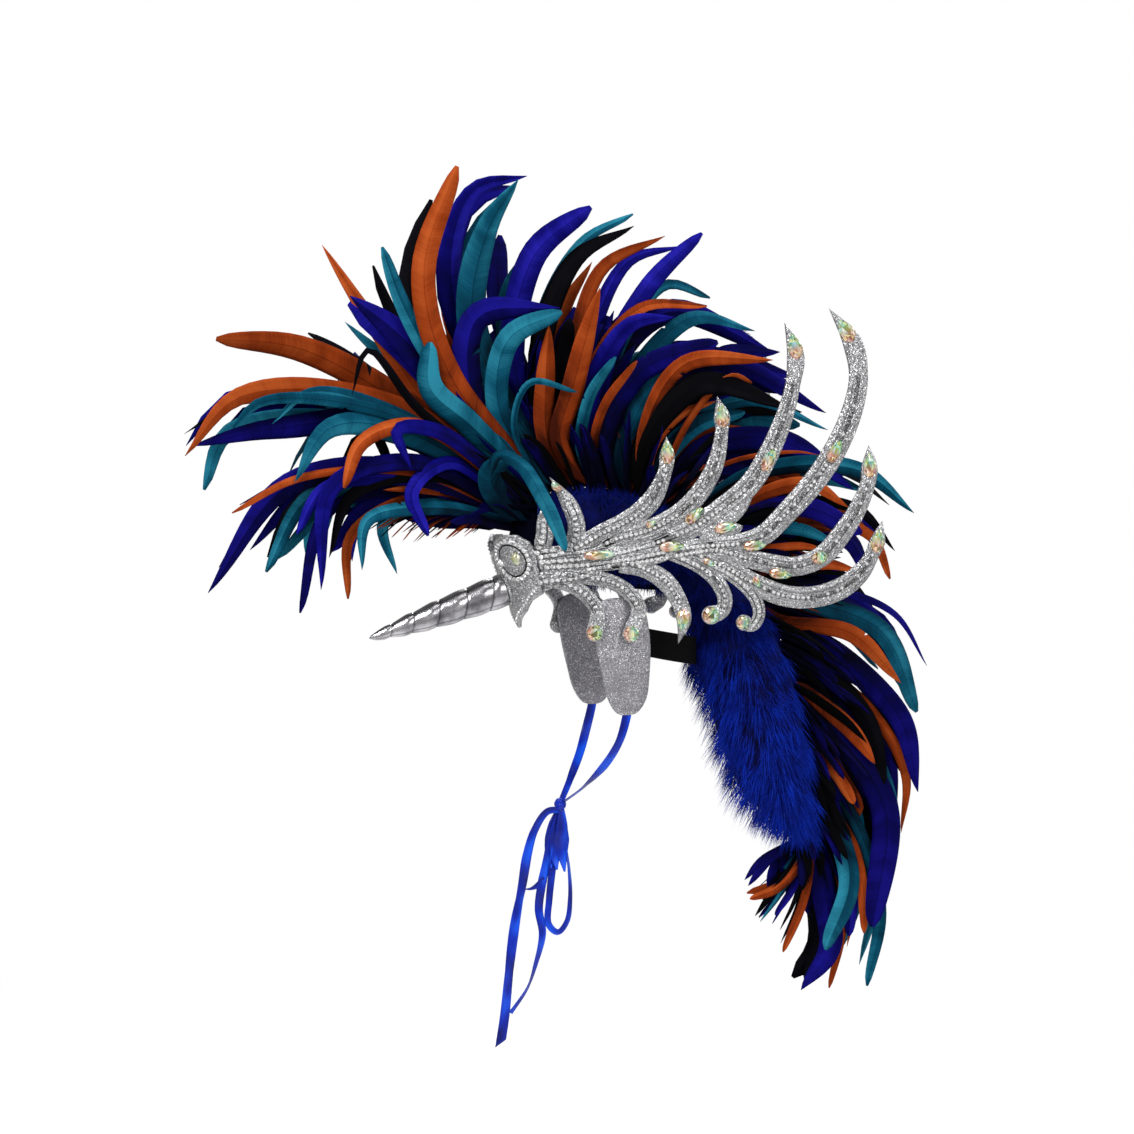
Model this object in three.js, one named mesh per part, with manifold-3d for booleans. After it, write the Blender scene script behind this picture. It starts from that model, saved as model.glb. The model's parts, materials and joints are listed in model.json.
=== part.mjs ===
// Feather mohawk headdress with a horn: glitter foam shield and scroll wings, crest of cock feathers.
// Millimetres, +Z up. The wearer faces -Y and the wearer's left is +X. The origin is the head's centre.
import * as THREE from "three";
import { mergeVertices } from "three/addons/utils/BufferGeometryUtils.js";
import Module from "manifold-3d";

const wasm = await Module();
wasm.setup();

const GAP = 0.3;

// Foam sheet and the plan curve that shield and wings follow round the head
const FOAM = 5;
const BROW_HALF_WIDTH = 85;
const BROW_HALF_LENGTH = 99;
const WRAP_ANGLE = THREE.MathUtils.degToRad(71);
const FLARE_ANGLE = THREE.MathUtils.degToRad(15);
const SHIELD_LEAN = 0.34;
const SHIELD_FOOT = 15;
const SEAM = 57;

// Raised bands of stones, and the cut stones on top
const BAND_HEIGHT = 1.6;
const BAND_MARGIN = 3.2;
const BAND_LIFT = 2.4;
const STONE_HEIGHT = 4.2;
const TABLE_SHARE = 0.55;

// Horn: radius at each height along its axis, standing square on the leaning shield
const HORN_FOOT_HEIGHT = 57;
const HORN_SIDES = 12;
const HORN_PROFILE = [
  // radius, height
  [17.5, 0],
  [18.4, 8],
  [16.6, 16],
  [18.2, 28],
  [15.2, 46.5],
  [16.8, 58],
  [13.4, 78],
  [14.2, 88],
  [10.4, 107],
  [10.8, 115],
  [6.8, 132],
  [6.6, 140],
  [2.4, 154],
];
const HORN_LENGTH = 157.5;
const BOSS_RADIUS = 19;
const BOSS_RISE = 0.8;
const BOSS_DEPTH = 3.5;

// Ear flaps and the elastic round the back of the head
const FLAP_THICKNESS = 4;
const FLAP_HALF_WIDTH = 79.3;
const FLAP_HALF_LENGTH = 93.7;
const FLAP_TUCK = 9;
const FLAP_TUCK_START = -12;
const STRAP_HALF_WIDTH = 74.2;
const STRAP_HALF_LENGTH = 103;
const STRAP_THICKNESS = 1.5;
const STRAP_HEIGHT = 30;
const STRAP_SIDE_Z = 5;
const STRAP_BACK_Z = -13;
const STRAP_START_Y = 10;

// Crest: a foam fin between two rolls of marabou
const FIN_THICKNESS = 12;
const FIN_FRONT = [
  // y, z of the front edge, which lies against the back of the shield
  [-105.6, 54],
  [-115.8, 84],
];
const MARABOU_REACH = 38;
const MARABOU_CLEAR = 0.4;
const CREST = [
  // y and z of the outer edge, y and z of the inner edge, share of the full marabou
  [-105, 124, -100, 56, 0.4],
  [-79, 151, -77, 64, 0.7],
  [-46, 162, -44, 60, 0.9],
  [-6, 164, -3, 59, 1],
  [40, 152, 33, 56, 1],
  [86, 128, 67, 54, 1],
  [127, 96, 94, 38, 1],
  [163, 55, 103.4, 4, 1],
  [193, 8, 103.4, -26, 1],
  [213, -38, 112, -46, 1],
  [225, -83, 123, -75, 1],
  [235, -134, 138, -123, 0.95],
  [239, -185, 163, -177, 0.8],
  [236, -225, 212, -217, 0.45],
];

// Feathers lie in lanes side by side across the crest, and the lanes fan out away from the fin
const LANE_PITCH = 4;
const FAN_START = 0.14;
const FAN_RATE = 0.0042;
const BLADE_THICKNESS = 2.5;
const BACKING_HALF_WIDTH = 8;
const BACKING_HEIGHT = 4;

// Satin ties
const RIBBON_WIDTH = 10;
const RIBBON_THICKNESS = 1.2;
const KNOT = [0, -51, -180];
const KNOT_RADIUS = 8;

const finish = (color, roughness, metalness) =>
  new THREE.MeshStandardMaterial({ color, roughness, metalness });
const materials = {
  glitter: finish(0xb4b4b4, 0.45, 0.6),
  stones: finish(0xe6e6ea, 0.15, 0.3),
  crystal: finish(0xbfd3b0, 0.05, 0.4),
  horn: finish(0xc8c8cc, 0.2, 1),
  elastic: finish(0x111111, 0.9, 0),
  fin: finish(0x15151c, 0.9, 0),
  marabou: finish(0x0a1ea0, 0.95, 0),
  feather: finish(0x140f78, 0.6, 0),
  satin: finish(0x0a32be, 0.35, 0),
};

const part = new THREE.Group();

function addNode(name, geometry, material) {
  const mesh = new THREE.Mesh(geometry, material);
  mesh.name = name;
  part.add(mesh);
}

// Geometry and solids

function bare(geometry) {
  const copy = geometry.clone();
  for (const name of Object.keys(copy.attributes)) {
    if (name !== "position") copy.deleteAttribute(name);
  }
  return mergeVertices(copy, 1e-3);
}

function meshOf(vertices, triangles) {
  const geometry = new THREE.BufferGeometry();
  geometry.setAttribute("position", new THREE.Float32BufferAttribute(vertices.flat(), 3));
  geometry.setIndex(triangles.flat());
  return geometry;
}

function toSolid(geometry) {
  const merged = bare(geometry);
  return new wasm.Manifold(
    new wasm.Mesh({
      numProp: 3,
      vertProperties: Float32Array.from(merged.attributes.position.array),
      triVerts: Uint32Array.from(merged.index.array),
    }),
  );
}

function toGeometry(solid) {
  const { vertProperties, triVerts } = solid.getMesh();
  const geometry = new THREE.BufferGeometry();
  geometry.setAttribute("position", new THREE.Float32BufferAttribute(vertProperties, 3));
  geometry.setIndex(Array.from(triVerts));
  return geometry;
}

function join(geometries) {
  return toGeometry(geometries.map(toSolid).reduce((all, next) => all.add(next)));
}

function mirrored(geometry) {
  const copy = bare(geometry);
  copy.scale(-1, 1, 1);
  const index = Array.from(copy.index.array);
  for (let i = 0; i < index.length; i += 3) {
    [index[i + 1], index[i + 2]] = [index[i + 2], index[i + 1]];
  }
  copy.setIndex(index);
  return copy;
}

// Splits every triangle that crosses the plane where the axis has the given value
function cutAcross(geometry, axis, value) {
  const source = bare(geometry);
  const points = [];
  for (let i = 0; i < source.attributes.position.count; i += 1) {
    points.push(new THREE.Vector3().fromBufferAttribute(source.attributes.position, i).toArray());
  }
  const side = (i) => {
    const offset = points[i][axis] - value;
    return Math.abs(offset) < 1e-2 ? 0 : Math.sign(offset);
  };
  const cuts = new Map();
  const cutBetween = (a, b) => {
    const key = a < b ? `${a},${b}` : `${b},${a}`;
    if (!cuts.has(key)) {
      const [low, high] = a < b ? [a, b] : [b, a];
      const share = (value - points[low][axis]) / (points[high][axis] - points[low][axis]);
      cuts.set(key, points.length);
      points.push(points[low].map((from, k) => from + (points[high][k] - from) * share));
    }
    return cuts.get(key);
  };
  const triangles = [];
  for (let i = 0; i < source.index.count; i += 3) {
    const corners = [0, 1, 2].map((k) => source.index.getX(i + k));
    const ring = [];
    corners.forEach((corner, k) => {
      const next = corners[(k + 1) % 3];
      ring.push(corner);
      if (side(corner) * side(next) < 0) ring.push(cutBetween(corner, next));
    });
    const signs = corners.map(side);
    if (!signs.includes(1) || !signs.includes(-1)) {
      triangles.push(corners);
      continue;
    }
    for (const half of [1, -1]) {
      const kept = ring.filter((k) => side(k) !== -half);
      for (let k = 1; k + 1 < kept.length; k += 1) {
        triangles.push([kept[0], kept[k], kept[k + 1]]);
      }
    }
  }
  return meshOf(points, triangles);
}

function mapPoints(geometry, place) {
  const copy = bare(geometry);
  const position = copy.attributes.position;
  for (let i = 0; i < position.count; i += 1) {
    position.setXYZ(i, ...place(position.getX(i), position.getY(i), position.getZ(i)));
  }
  return copy;
}

// A closed solid through rings that all have the same number of corners
function loft(rings, tip) {
  const corners = rings[0].length;
  const triangles = [];
  for (let i = 0; i + 1 < rings.length; i += 1) {
    for (let k = 0; k < corners; k += 1) {
      const a = i * corners + k;
      const b = i * corners + ((k + 1) % corners);
      triangles.push([a, b, b + corners], [a, b + corners, a + corners]);
    }
  }
  for (let k = 1; k + 1 < corners; k += 1) triangles.push([0, k + 1, k]);
  const last = (rings.length - 1) * corners;
  const vertices = rings.flat();
  if (tip) {
    vertices.push(tip);
    for (let k = 0; k < corners; k += 1) {
      triangles.push([last + k, last + ((k + 1) % corners), vertices.length - 1]);
    }
  } else {
    for (let k = 1; k + 1 < corners; k += 1) triangles.push([last, last + k, last + k + 1]);
  }
  return outward(meshOf(vertices, triangles));
}

// Turns all faces round if the solid comes out inside out
function outward(geometry) {
  const position = geometry.attributes.position;
  const corner = (i) => new THREE.Vector3().fromBufferAttribute(position, geometry.index.getX(i));
  let volume = 0;
  for (let i = 0; i < geometry.index.count; i += 3) {
    volume += corner(i).dot(corner(i + 1).cross(corner(i + 2)));
  }
  if (volume < 0) {
    const index = Array.from(geometry.index.array);
    for (let i = 0; i < index.length; i += 3) {
      [index[i + 1], index[i + 2]] = [index[i + 2], index[i + 1]];
    }
    geometry.setIndex(index);
  }
  return geometry;
}

function plate(outline, base, thickness) {
  const shape = new THREE.Shape(outline.map(([x, y]) => new THREE.Vector2(x, y)));
  const geometry = new THREE.ExtrudeGeometry(shape, { depth: thickness, bevelEnabled: false });
  return bare(geometry.translate(0, 0, base));
}

function smoothPath(points, samples) {
  const curve = new THREE.CatmullRomCurve3(points.map((p) => new THREE.Vector3(...p)), false, "centripetal");
  return curve.getSpacedPoints(samples).map((p) => p.toArray());
}

// The flat pattern of shield and wings: u runs along the plan curve, v upward, w outward

const wrapSteps = 72;
const wrap = Array.from({ length: wrapSteps + 1 }, (_, i) => {
  const angle = (WRAP_ANGLE * i) / wrapSteps;
  return [BROW_HALF_WIDTH * Math.sin(angle), -BROW_HALF_LENGTH * Math.cos(angle), angle];
});
const wrapLengths = wrap.reduce((sums, [x, y], i) => {
  const before = i ? Math.hypot(x - wrap[i - 1][0], y - wrap[i - 1][1]) : 0;
  return [...sums, (i ? sums[i - 1] : 0) + before];
}, []);
const WRAP_LENGTH = wrapLengths[wrapSteps];
const SHIELD_FOLDS = [-36, -12, 12, 36];
const WING_FOLDS = [76, 95, WRAP_LENGTH];

function planPoint(u) {
  if (u >= WRAP_LENGTH) {
    const [x, y] = wrap[wrapSteps];
    const along = [Math.sin(FLARE_ANGLE), Math.cos(FLARE_ANGLE)];
    const run = u - WRAP_LENGTH;
    return { x: x + run * along[0], y: y + run * along[1], nx: along[1], ny: -along[0] };
  }
  const i = Math.min(wrapSteps - 1, wrapLengths.findIndex((length) => length > u) - 1);
  const share = (u - wrapLengths[i]) / (wrapLengths[i + 1] - wrapLengths[i]);
  const angle = THREE.MathUtils.lerp(wrap[i][2], wrap[i + 1][2], share);
  const along = [BROW_HALF_WIDTH * Math.cos(angle), BROW_HALF_LENGTH * Math.sin(angle)];
  const length = Math.hypot(...along);
  return {
    x: BROW_HALF_WIDTH * Math.sin(angle),
    y: -BROW_HALF_LENGTH * Math.cos(angle),
    nx: along[1] / length,
    ny: -along[0] / length,
  };
}

function onHeaddress(u, v, w) {
  const side = u < 0 ? -1 : 1;
  const { x, y, nx, ny } = planPoint(Math.abs(u));
  const hold = Math.cos((Math.min(1, Math.abs(u) / WRAP_LENGTH) * Math.PI) / 2) ** 2;
  const out = w - FOAM;
  return [side * (x + nx * out), y + ny * out - SHIELD_LEAN * (v - SHIELD_FOOT) * hold, v];
}

function wrapRound(geometry, folds, lift = 0) {
  let cut = geometry;
  for (const u of folds) cut = cutAcross(cut, 0, u);
  const raised = (u) => lift * Math.max(0, 1 - Math.abs(u) / WRAP_LENGTH);
  return mapPoints(cut, (u, v, w) => onHeaddress(u, v, w + raised(u)));
}

// Front shield: two lobes like a heart over a point, with a rim round each lobe and a seat for the horn

const SHIELD_EDGE = [
  // u, v of the left half, from the point at the bottom round to the cleft between the lobes
  [0, 15],
  [14, 25],
  [30, 34],
  [42, 46],
  [SEAM, 54],
  [SEAM, 98],
  [52, 110],
  [42, 117],
  [28, 117],
  [14, 110],
  [6, 99],
  [0, 86],
];
const LOBE = { u: 31, v: 89, halfWidth: 22, halfHeight: 23, rim: 5, rise: 2 };

function lobeRim() {
  const ring = (grow) => {
    const around = Array.from({ length: 12 }, (_, i) => (i / 12) * 2 * Math.PI);
    return around.map((a) => [
      LOBE.u + (LOBE.halfWidth - grow) * Math.sin(a),
      LOBE.v + (LOBE.halfHeight - grow) * Math.cos(a),
    ]);
  };
  const disc = toSolid(plate(ring(0), FOAM - 1, LOBE.rise + 1));
  return toGeometry(disc.subtract(toSolid(plate(ring(LOBE.rim), FOAM - 2, LOBE.rise + 4))));
}

function frontShield() {
  const mirroredEdge = SHIELD_EDGE.slice(1, -1).map(([u, v]) => [-u, v]);
  const outline = [...SHIELD_EDGE, ...mirroredEdge.reverse()];
  const rim = lobeRim();
  const flat = join([plate(outline, 0, FOAM), rim, mirrored(rim)]);
  const bent = wrapRound(flat, SHIELD_FOLDS);
  const boss = new THREE.CylinderGeometry(BOSS_RADIUS, BOSS_RADIUS, BOSS_DEPTH + BOSS_RISE, 20);
  boss.translate(0, (BOSS_RISE - BOSS_DEPTH) / 2, 0);
  return join([bent, standOnShield(boss, 0)]);
}

// Turns a shape built along +Y so that it stands square on the leaning shield
function standOnShield(geometry, lift) {
  const [, y, z] = onHeaddress(0, HORN_FOOT_HEIGHT, FOAM);
  const axis = new THREE.Vector3(0, -1, -SHIELD_LEAN).normalize();
  const turn = new THREE.Quaternion().setFromUnitVectors(new THREE.Vector3(0, 1, 0), axis);
  const foot = new THREE.Vector3(0, y, z).addScaledVector(axis, lift);
  return geometry.applyQuaternion(turn).translate(...foot.toArray());
}

function horn() {
  const profile = [[0, 0], ...HORN_PROFILE, [0, HORN_LENGTH]];
  const lathe = new THREE.LatheGeometry(profile.map((p) => new THREE.Vector2(...p)), HORN_SIDES);
  return outward(bare(standOnShield(lathe, BOSS_RISE + GAP)));
}

// Wings: scroll branches of foam, each a tapering strip with a band of small stones along it

const BRANCHES = {
  // u, v and half width at each station; the last station is the tip
  stem: [[58, 88, 16], [82, 92, 14], [114, 92, 14], [158, 98, 13], [201, 104, 10], [242, 103, 8], [262, 101, 0]],
  browEdge: [[58, 66, 9], [66, 68, 8], [87, 70, 8], [103, 74, 6], [118, 82, 4]],
  curlFront: [[59, 98, 8], [65, 112, 7], [68, 133, 6], [71, 160, 0]],
  curlBack: [[80, 98, 8], [91, 112, 8], [93, 128, 7.5], [87, 151, 6.5], [74, 179, 0]],
  one: [[84, 100, 8], [116, 118, 10], [148, 134, 11], [171, 155, 10.5], [185, 186, 7.5], [187, 203, 8], [186, 222, 0]],
  two: [[130, 112, 9], [169, 123, 11], [201, 141, 10.5], [225, 167, 10], [239, 195, 9], [245, 229, 7], [245, 243, 8.5], [240, 265, 0]],
  three: [[190, 114, 9], [215, 125, 10.5], [245, 146, 11], [274, 170, 11.5], [294, 202, 11], [311, 242, 9.5], [320, 276, 8], [323, 309, 9], [311, 343, 0]],
  four: [[236, 106, 9], [262, 108, 10.5], [289, 117, 11], [314, 141, 11.5], [340, 170, 12], [364, 205, 12], [383, 248, 11], [390, 286, 10], [383, 322, 10], [358, 358, 0]],
  five: [[240, 101, 9], [268, 94, 10], [296, 87, 10.5], [325, 84, 10.5], [352, 95, 11], [373, 119, 10.5], [389, 144, 9.5], [400, 171, 8], [402, 190, 8.5], [401, 213, 0]],
  six: [[200, 100, 9], [243, 86, 10], [283, 64, 11], [311, 53, 11.5], [340, 51, 11.5], [369, 59, 11.5], [392, 76, 10], [405, 96, 7.5], [411, 111, 8], [416, 133, 0]],
  drop: [[137, 86, 9], [164, 81, 9.5], [186, 67, 10], [200, 46, 9], [205, 27, 8], [199, 1, 0]],
};
const CURLS = {
  // u, v and half width at each station; the last station is the centre of a round end
  earFront: [[70, 68, 8], [87, 63, 8], [103, 51, 8], [113, 35, 8], [110, 13, 9.5]],
  earBack: [[75, 76, 8], [103, 72, 8], [126, 68, 8], [145, 57, 8], [157, 40, 8], [149, 12, 9.5]],
  scrollFront: [[185, 100, 7], [215, 87, 7], [231, 77, 7.5], [243, 64, 8], [249, 48, 8], [246, 37, 8], [234, 32, 10]],
  scrollBack: [[222, 92, 7], [252, 76, 6.5], [270, 63, 7], [282, 48, 7], [285, 32, 6.5], [279, 21, 6.5], [269, 24, 8.5]],
};

// Both edges of a strip whose width changes along the path, as one outline
function stripOutline(stations, samples, inset, endShape) {
  const path = smoothPath(stations, samples);
  const edges = { left: [], right: [] };
  path.forEach(([u, v, half], i) => {
    const before = path[Math.max(0, i - 1)];
    const after = path[Math.min(path.length - 1, i + 1)];
    const length = Math.hypot(after[0] - before[0], after[1] - before[1]);
    const across = [-(after[1] - before[1]) / length, (after[0] - before[0]) / length];
    const reach = half - inset;
    edges.left.push([u + across[0] * reach, v + across[1] * reach]);
    edges.right.unshift([u - across[0] * reach, v - across[1] * reach]);
  });
  if (endShape === "point") {
    edges.left.pop();
    edges.right.shift();
    return [...edges.left, path.at(-1).slice(0, 2), ...edges.right];
  }
  return [...edges.left, ...edges.right];
}

function disc(u, v, radius, base, thickness, sides = 12) {
  const around = Array.from({ length: sides }, (_, i) => (i / sides) * 2 * Math.PI);
  return plate(around.map((a) => [u + radius * Math.cos(a), v + radius * Math.sin(a)]), base, thickness);
}

function wingFoam() {
  const strips = Object.values(BRANCHES).map((stations) =>
    plate(stripOutline(stations, stations.length - 1, 0, "point"), 0, FOAM),
  );
  const curls = Object.values(CURLS).flatMap((stations) => {
    const [u, v, radius] = stations.at(-1);
    return [plate(stripOutline(stations, stations.length, 0, "flat"), 0, FOAM), disc(u, v, radius, 0, FOAM, 10)];
  });
  const seamCut = plate([[0, -50], [SEAM + GAP, -50], [SEAM + GAP, 200], [0, 200]], -5, FOAM + 10);
  const flat = toSolid(join([...strips, ...curls])).subtract(toSolid(seamCut));
  return wrapRound(toGeometry(flat), WING_FOLDS);
}

function wingStones() {
  const base = FOAM + GAP;
  const bands = [...Object.entries(BRANCHES), ...Object.entries(CURLS)].map(([name, stations]) => {
    const pointed = name in BRANCHES;
    const cutBack = pointed && !["stem", "browEdge"].includes(name) ? 2 : 1;
    const kept = stations.slice(0, stations.length - cutBack);
    return plate(stripOutline(kept, Math.max(1, kept.length - 2), BAND_MARGIN, "flat"), base, BAND_HEIGHT);
  });
  const seamCut = plate([[0, -50], [SEAM + 3, -50], [SEAM + 3, 200], [0, 200]], 0, FOAM * 3);
  const flat = toSolid(join(bands)).subtract(toSolid(seamCut));
  return wrapRound(toGeometry(flat), WING_FOLDS, BAND_LIFT);
}

// Cut stones: name, centre, length, width, direction of the long axis in degrees, shape, seat
const CRYSTALS = [
  ["tip_one", 187, 205, 26, 15, 92, "flame", "foam"],
  ["tip_two", 245, 244, 26, 15, 98, "flame", "foam"],
  ["tip_three", 322, 317, 28, 16, 104, "flame", "foam"],
  ["tip_four", 376, 334, 28, 17, 122, "flame", "foam"],
  ["tip_five", 402, 191, 26, 15, 92, "flame", "foam"],
  ["tip_six", 411, 111, 26, 15, 78, "flame", "foam"],
  ["tip_drop", 204, 27, 24, 15, 262, "flame", "foam"],
  ["fork_root", 116, 96, 33, 11, 4, "drop", "band"],
  ["fork_one", 192, 105, 26, 12, 2, "drop", "band"],
  ["fork_two", 216, 138, 24, 12, 42, "drop", "band"],
  ["fork_three", 249, 125, 24, 12, 12, "drop", "foam"],
  ["fork_four", 280, 106, 24, 12, 4, "drop", "band"],
  ["fork_five", 307, 76, 24, 12, 350, "drop", "band"],
  ["fork_six", 349, 93, 17, 14, 20, "round", "band"],
  ["round_ear_front", 110, 13, 17, 17, 0, "round", "foam"],
  ["round_ear_back", 149, 12, 17, 17, 0, "round", "foam"],
  ["round_scroll_front", 234, 32, 18, 18, 0, "round", "foam"],
  ["round_scroll_back", 268, 24, 14, 14, 0, "round", "foam"],
];

// Half width of a stone at a share of its length, from its blunt end to its point
const stoneShapes = {
  round: (share) => Math.sqrt(Math.max(0, 1 - (2 * share - 1) ** 2)),
  drop: (share) => Math.sqrt(Math.max(0, 1 - (2 * share - 1) ** 2)) * (1.15 - 0.45 * share),
  flame: (share) => Math.sin(Math.PI * share ** 0.75) ** 0.9,
};

function stoneOutline(length, width, angle, shape) {
  const shares = [0, 0.16, 0.42, 0.75];
  const upper = shares.map((s) => [s * length - length / 2, (width / 2) * stoneShapes[shape](s)]);
  const lower = [[length / 2, 0], ...upper.slice(1).map(([x, y]) => [x, -y]).reverse()];
  const turn = THREE.MathUtils.degToRad(angle);
  return [...upper, ...lower].map(([x, y]) => [
    x * Math.cos(turn) - y * Math.sin(turn),
    x * Math.sin(turn) + y * Math.cos(turn),
  ]);
}

function crystal([, u, v, length, width, angle, shape, seat]) {
  const base = FOAM + GAP + (seat === "band" ? BAND_HEIGHT + GAP : 0);
  const outline = stoneOutline(length, width, angle, shape).reverse();
  const girdle = outline.map(([x, y]) => onHeaddress(u + x, v + y, base));
  const table = outline.map(([x, y]) => onHeaddress(u + x * TABLE_SHARE, v + y * TABLE_SHARE, base + STONE_HEIGHT));
  return loft([girdle, table]);
}

// Ear flap: a foam tab that follows the head and tucks in below the ear
const FLAP_EDGE = [
  // distance behind the ear, height
  [-37, 30],
  [-32, -1],
  [-25, -31],
  [-17, -60],
  [-6, -75],
  [4, -77],
  [16, -75],
  [27, -60],
  [30, -32],
  [29, 12],
  [20, 40],
  [-10, 50],
  [-30, 44],
];

function onFlap(s, z, w) {
  const angle = Math.PI / 2 + s / FLAP_HALF_LENGTH;
  const inset = FLAP_THICKNESS - w;
  const drop = Math.max(0, FLAP_TUCK_START - z) / 65;
  const x = (FLAP_HALF_WIDTH - inset) * Math.sin(angle) - FLAP_TUCK * drop ** 1.3;
  return [x, -(FLAP_HALF_LENGTH - inset) * Math.cos(angle), z];
}

function earFlap() {
  let flat = plate(FLAP_EDGE, 0, FLAP_THICKNESS);
  for (const s of [-16, 8]) flat = cutAcross(flat, 0, s);
  for (const z of [-45, FLAP_TUCK_START]) flat = cutAcross(flat, 1, z);
  return mapPoints(flat, onFlap);
}

// Elastic: a flat band round the back of the head, ending inside the ear flaps
function elasticStrap() {
  const steps = 16;
  const start = Math.acos(STRAP_START_Y / STRAP_HALF_LENGTH);
  const rings = Array.from({ length: steps + 1 }, (_, i) => {
    const turn = start * (1 - (2 * i) / steps);
    const middle = THREE.MathUtils.lerp(STRAP_BACK_Z, STRAP_SIDE_Z, (Math.abs(turn) / start) ** 2);
    const corner = (inset, rise) => [
      (STRAP_HALF_WIDTH - inset) * Math.sin(turn),
      (STRAP_HALF_LENGTH - inset) * Math.cos(turn),
      middle + (rise * STRAP_HEIGHT) / 2,
    ];
    return [corner(0, -1), corner(0, 1), corner(STRAP_THICKNESS, 1), corner(STRAP_THICKNESS, -1)];
  });
  return loft(rings);
}

// Crest

const crestOuter = CREST.map(([y, z]) => [y, z]);
const crestInner = CREST.map(([, , y, z]) => [y, z]);

function crestFin() {
  const outline = [...FIN_FRONT, ...crestOuter, ...crestInner.slice(1).reverse()];
  const geometry = plate(outline, -FIN_THICKNESS / 2, FIN_THICKNESS);
  return outward(mapPoints(geometry, (y, z, x) => [x, y, z]));
}

function marabouRoll() {
  const start = FIN_THICKNESS / 2 + MARABOU_CLEAR;
  const section = [
    // share of the way from the inner to the outer edge, share of the sideways reach
    [0.02, 0],
    [0, 0.55],
    [0.3, 0.95],
    [0.7, 1],
    [1.02, 0.55],
    [1.0, 0.045],
  ];
  const rings = CREST.slice(1).map(([outY, outZ, inY, inZ, fluff]) =>
    section.map(([radial, aside]) => [
      start + (MARABOU_REACH - start) * aside * (aside > 0.1 ? fluff : 1),
      inY + (outY - inY) * radial,
      inZ + (outZ - inZ) * radial,
    ]),
  );
  return loft(rings);
}

const crestLengths = crestOuter.reduce((sums, [y, z], i) => {
  const before = i ? Math.hypot(y - crestOuter[i - 1][0], z - crestOuter[i - 1][1]) : 0;
  return [...sums, (i ? sums[i - 1] : 0) + before];
}, []);

// Outward direction at each corner of the crest line
const crestOutward = crestOuter.map((_, i) => {
  const before = crestOuter[Math.max(0, i - 1)];
  const after = crestOuter[Math.min(crestOuter.length - 1, i + 1)];
  const length = Math.hypot(after[0] - before[0], after[1] - before[1]);
  return [-(after[1] - before[1]) / length, (after[0] - before[0]) / length];
});

// Point on the crest line at a distance from its front end, moved outward from the fin
function onCrest(station, out) {
  let i = 0;
  while (i < crestOuter.length - 2 && crestLengths[i + 1] < station) i += 1;
  const share = (station - crestLengths[i]) / (crestLengths[i + 1] - crestLengths[i]);
  return [0, 1].map((k) => {
    const along = THREE.MathUtils.lerp(crestOuter[i][k], crestOuter[i + 1][k], share);
    return along + out * THREE.MathUtils.lerp(crestOutward[i][k], crestOutward[i + 1][k], share);
  });
}

function distanceToCrest(y, z) {
  let nearest = Infinity;
  for (let i = 0; i + 1 < crestOuter.length; i += 1) {
    const [from, to] = [crestOuter[i], crestOuter[i + 1]];
    const edge = [to[0] - from[0], to[1] - from[1]];
    const along = ((y - from[0]) * edge[0] + (z - from[1]) * edge[1]) / (edge[0] ** 2 + edge[1] ** 2);
    const share = THREE.MathUtils.clamp(along, 0, 1);
    nearest = Math.min(nearest, Math.hypot(from[0] + edge[0] * share - y, from[1] + edge[1] * share - z));
  }
  return nearest;
}

const fanOut = (y, z) => FAN_START + FAN_RATE * distanceToCrest(y, z);

// One feather: a thin lens-shaped blade from the crest through two points to its tip
const BLADE_SECTIONS = [
  // share of the length, share of the width
  [0, 0.12],
  [0.3, 0.8],
  [0.6, 1],
  [0.87, 0.75],
];

function blade([, lane, width, station, riseY, riseZ, fallY, fallZ, tipY, tipZ]) {
  const root = onCrest(station, BACKING_HEIGHT * 0.6 + GAP);
  const stops = [root, [riseY, riseZ], [fallY, fallZ], [tipY, tipZ]].map((p) => new THREE.Vector3(...p, 0));
  const curve = new THREE.CatmullRomCurve3(stops, false, "centripetal");
  const across = (y, z, side) => [(lane * LANE_PITCH + (side * BLADE_THICKNESS) / 2) * fanOut(y, z), y, z];
  const rings = BLADE_SECTIONS.map(([share, swell]) => {
    const point = curve.getPointAt(share);
    const along = curve.getTangentAt(share);
    const half = (width * swell) / 2;
    const edge = [-along.y * half, along.x * half];
    return [
      across(point.x + edge[0], point.y + edge[1], 0),
      across(point.x, point.y, 1),
      across(point.x - edge[0], point.y - edge[1], 0),
      across(point.x, point.y, -1),
    ];
  });
  return loft(rings, across(tipY, tipZ, 0));
}

// All feathers of one stretch of the crest, fused to the strip that carries them
function plume(from, to, feathers) {
  const corners = crestLengths.filter((length) => length > from + 1 && length < to - 1);
  const rings = [from, ...corners, to].map((station) => {
    const low = onCrest(station, GAP);
    const high = onCrest(station, GAP + BACKING_HEIGHT);
    return [
      [-BACKING_HALF_WIDTH, ...low],
      [-BACKING_HALF_WIDTH, ...high],
      [BACKING_HALF_WIDTH, ...high],
      [BACKING_HALF_WIDTH, ...low],
    ];
  });
  return join([loft(rings), ...feathers.map(blade)]);
}

// Satin ties: a ribbon from each ear flap to the knot under the chin, then a loop and two tails

// A flat ribbon along a path; facing gives the direction that its face looks in
function ribbon(path, width, thickness, samples, facing) {
  const curve = new THREE.CatmullRomCurve3(path.map((p) => new THREE.Vector3(...p)), false, "centripetal");
  const rings = Array.from({ length: samples + 1 }, (_, i) => {
    const point = curve.getPointAt(i / samples);
    const along = curve.getTangentAt(i / samples);
    const face = new THREE.Vector3(...facing(point));
    const across = new THREE.Vector3().crossVectors(along, face).normalize();
    const normal = new THREE.Vector3().crossVectors(across, along).normalize();
    const corner = (aside, out) =>
      point.clone().addScaledVector(across, aside * (width / 2)).addScaledVector(normal, out * (thickness / 2)).toArray();
    return [corner(-1, -1), corner(1, -1), corner(1, 1), corner(-1, 1)];
  });
  return loft(rings);
}

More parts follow.
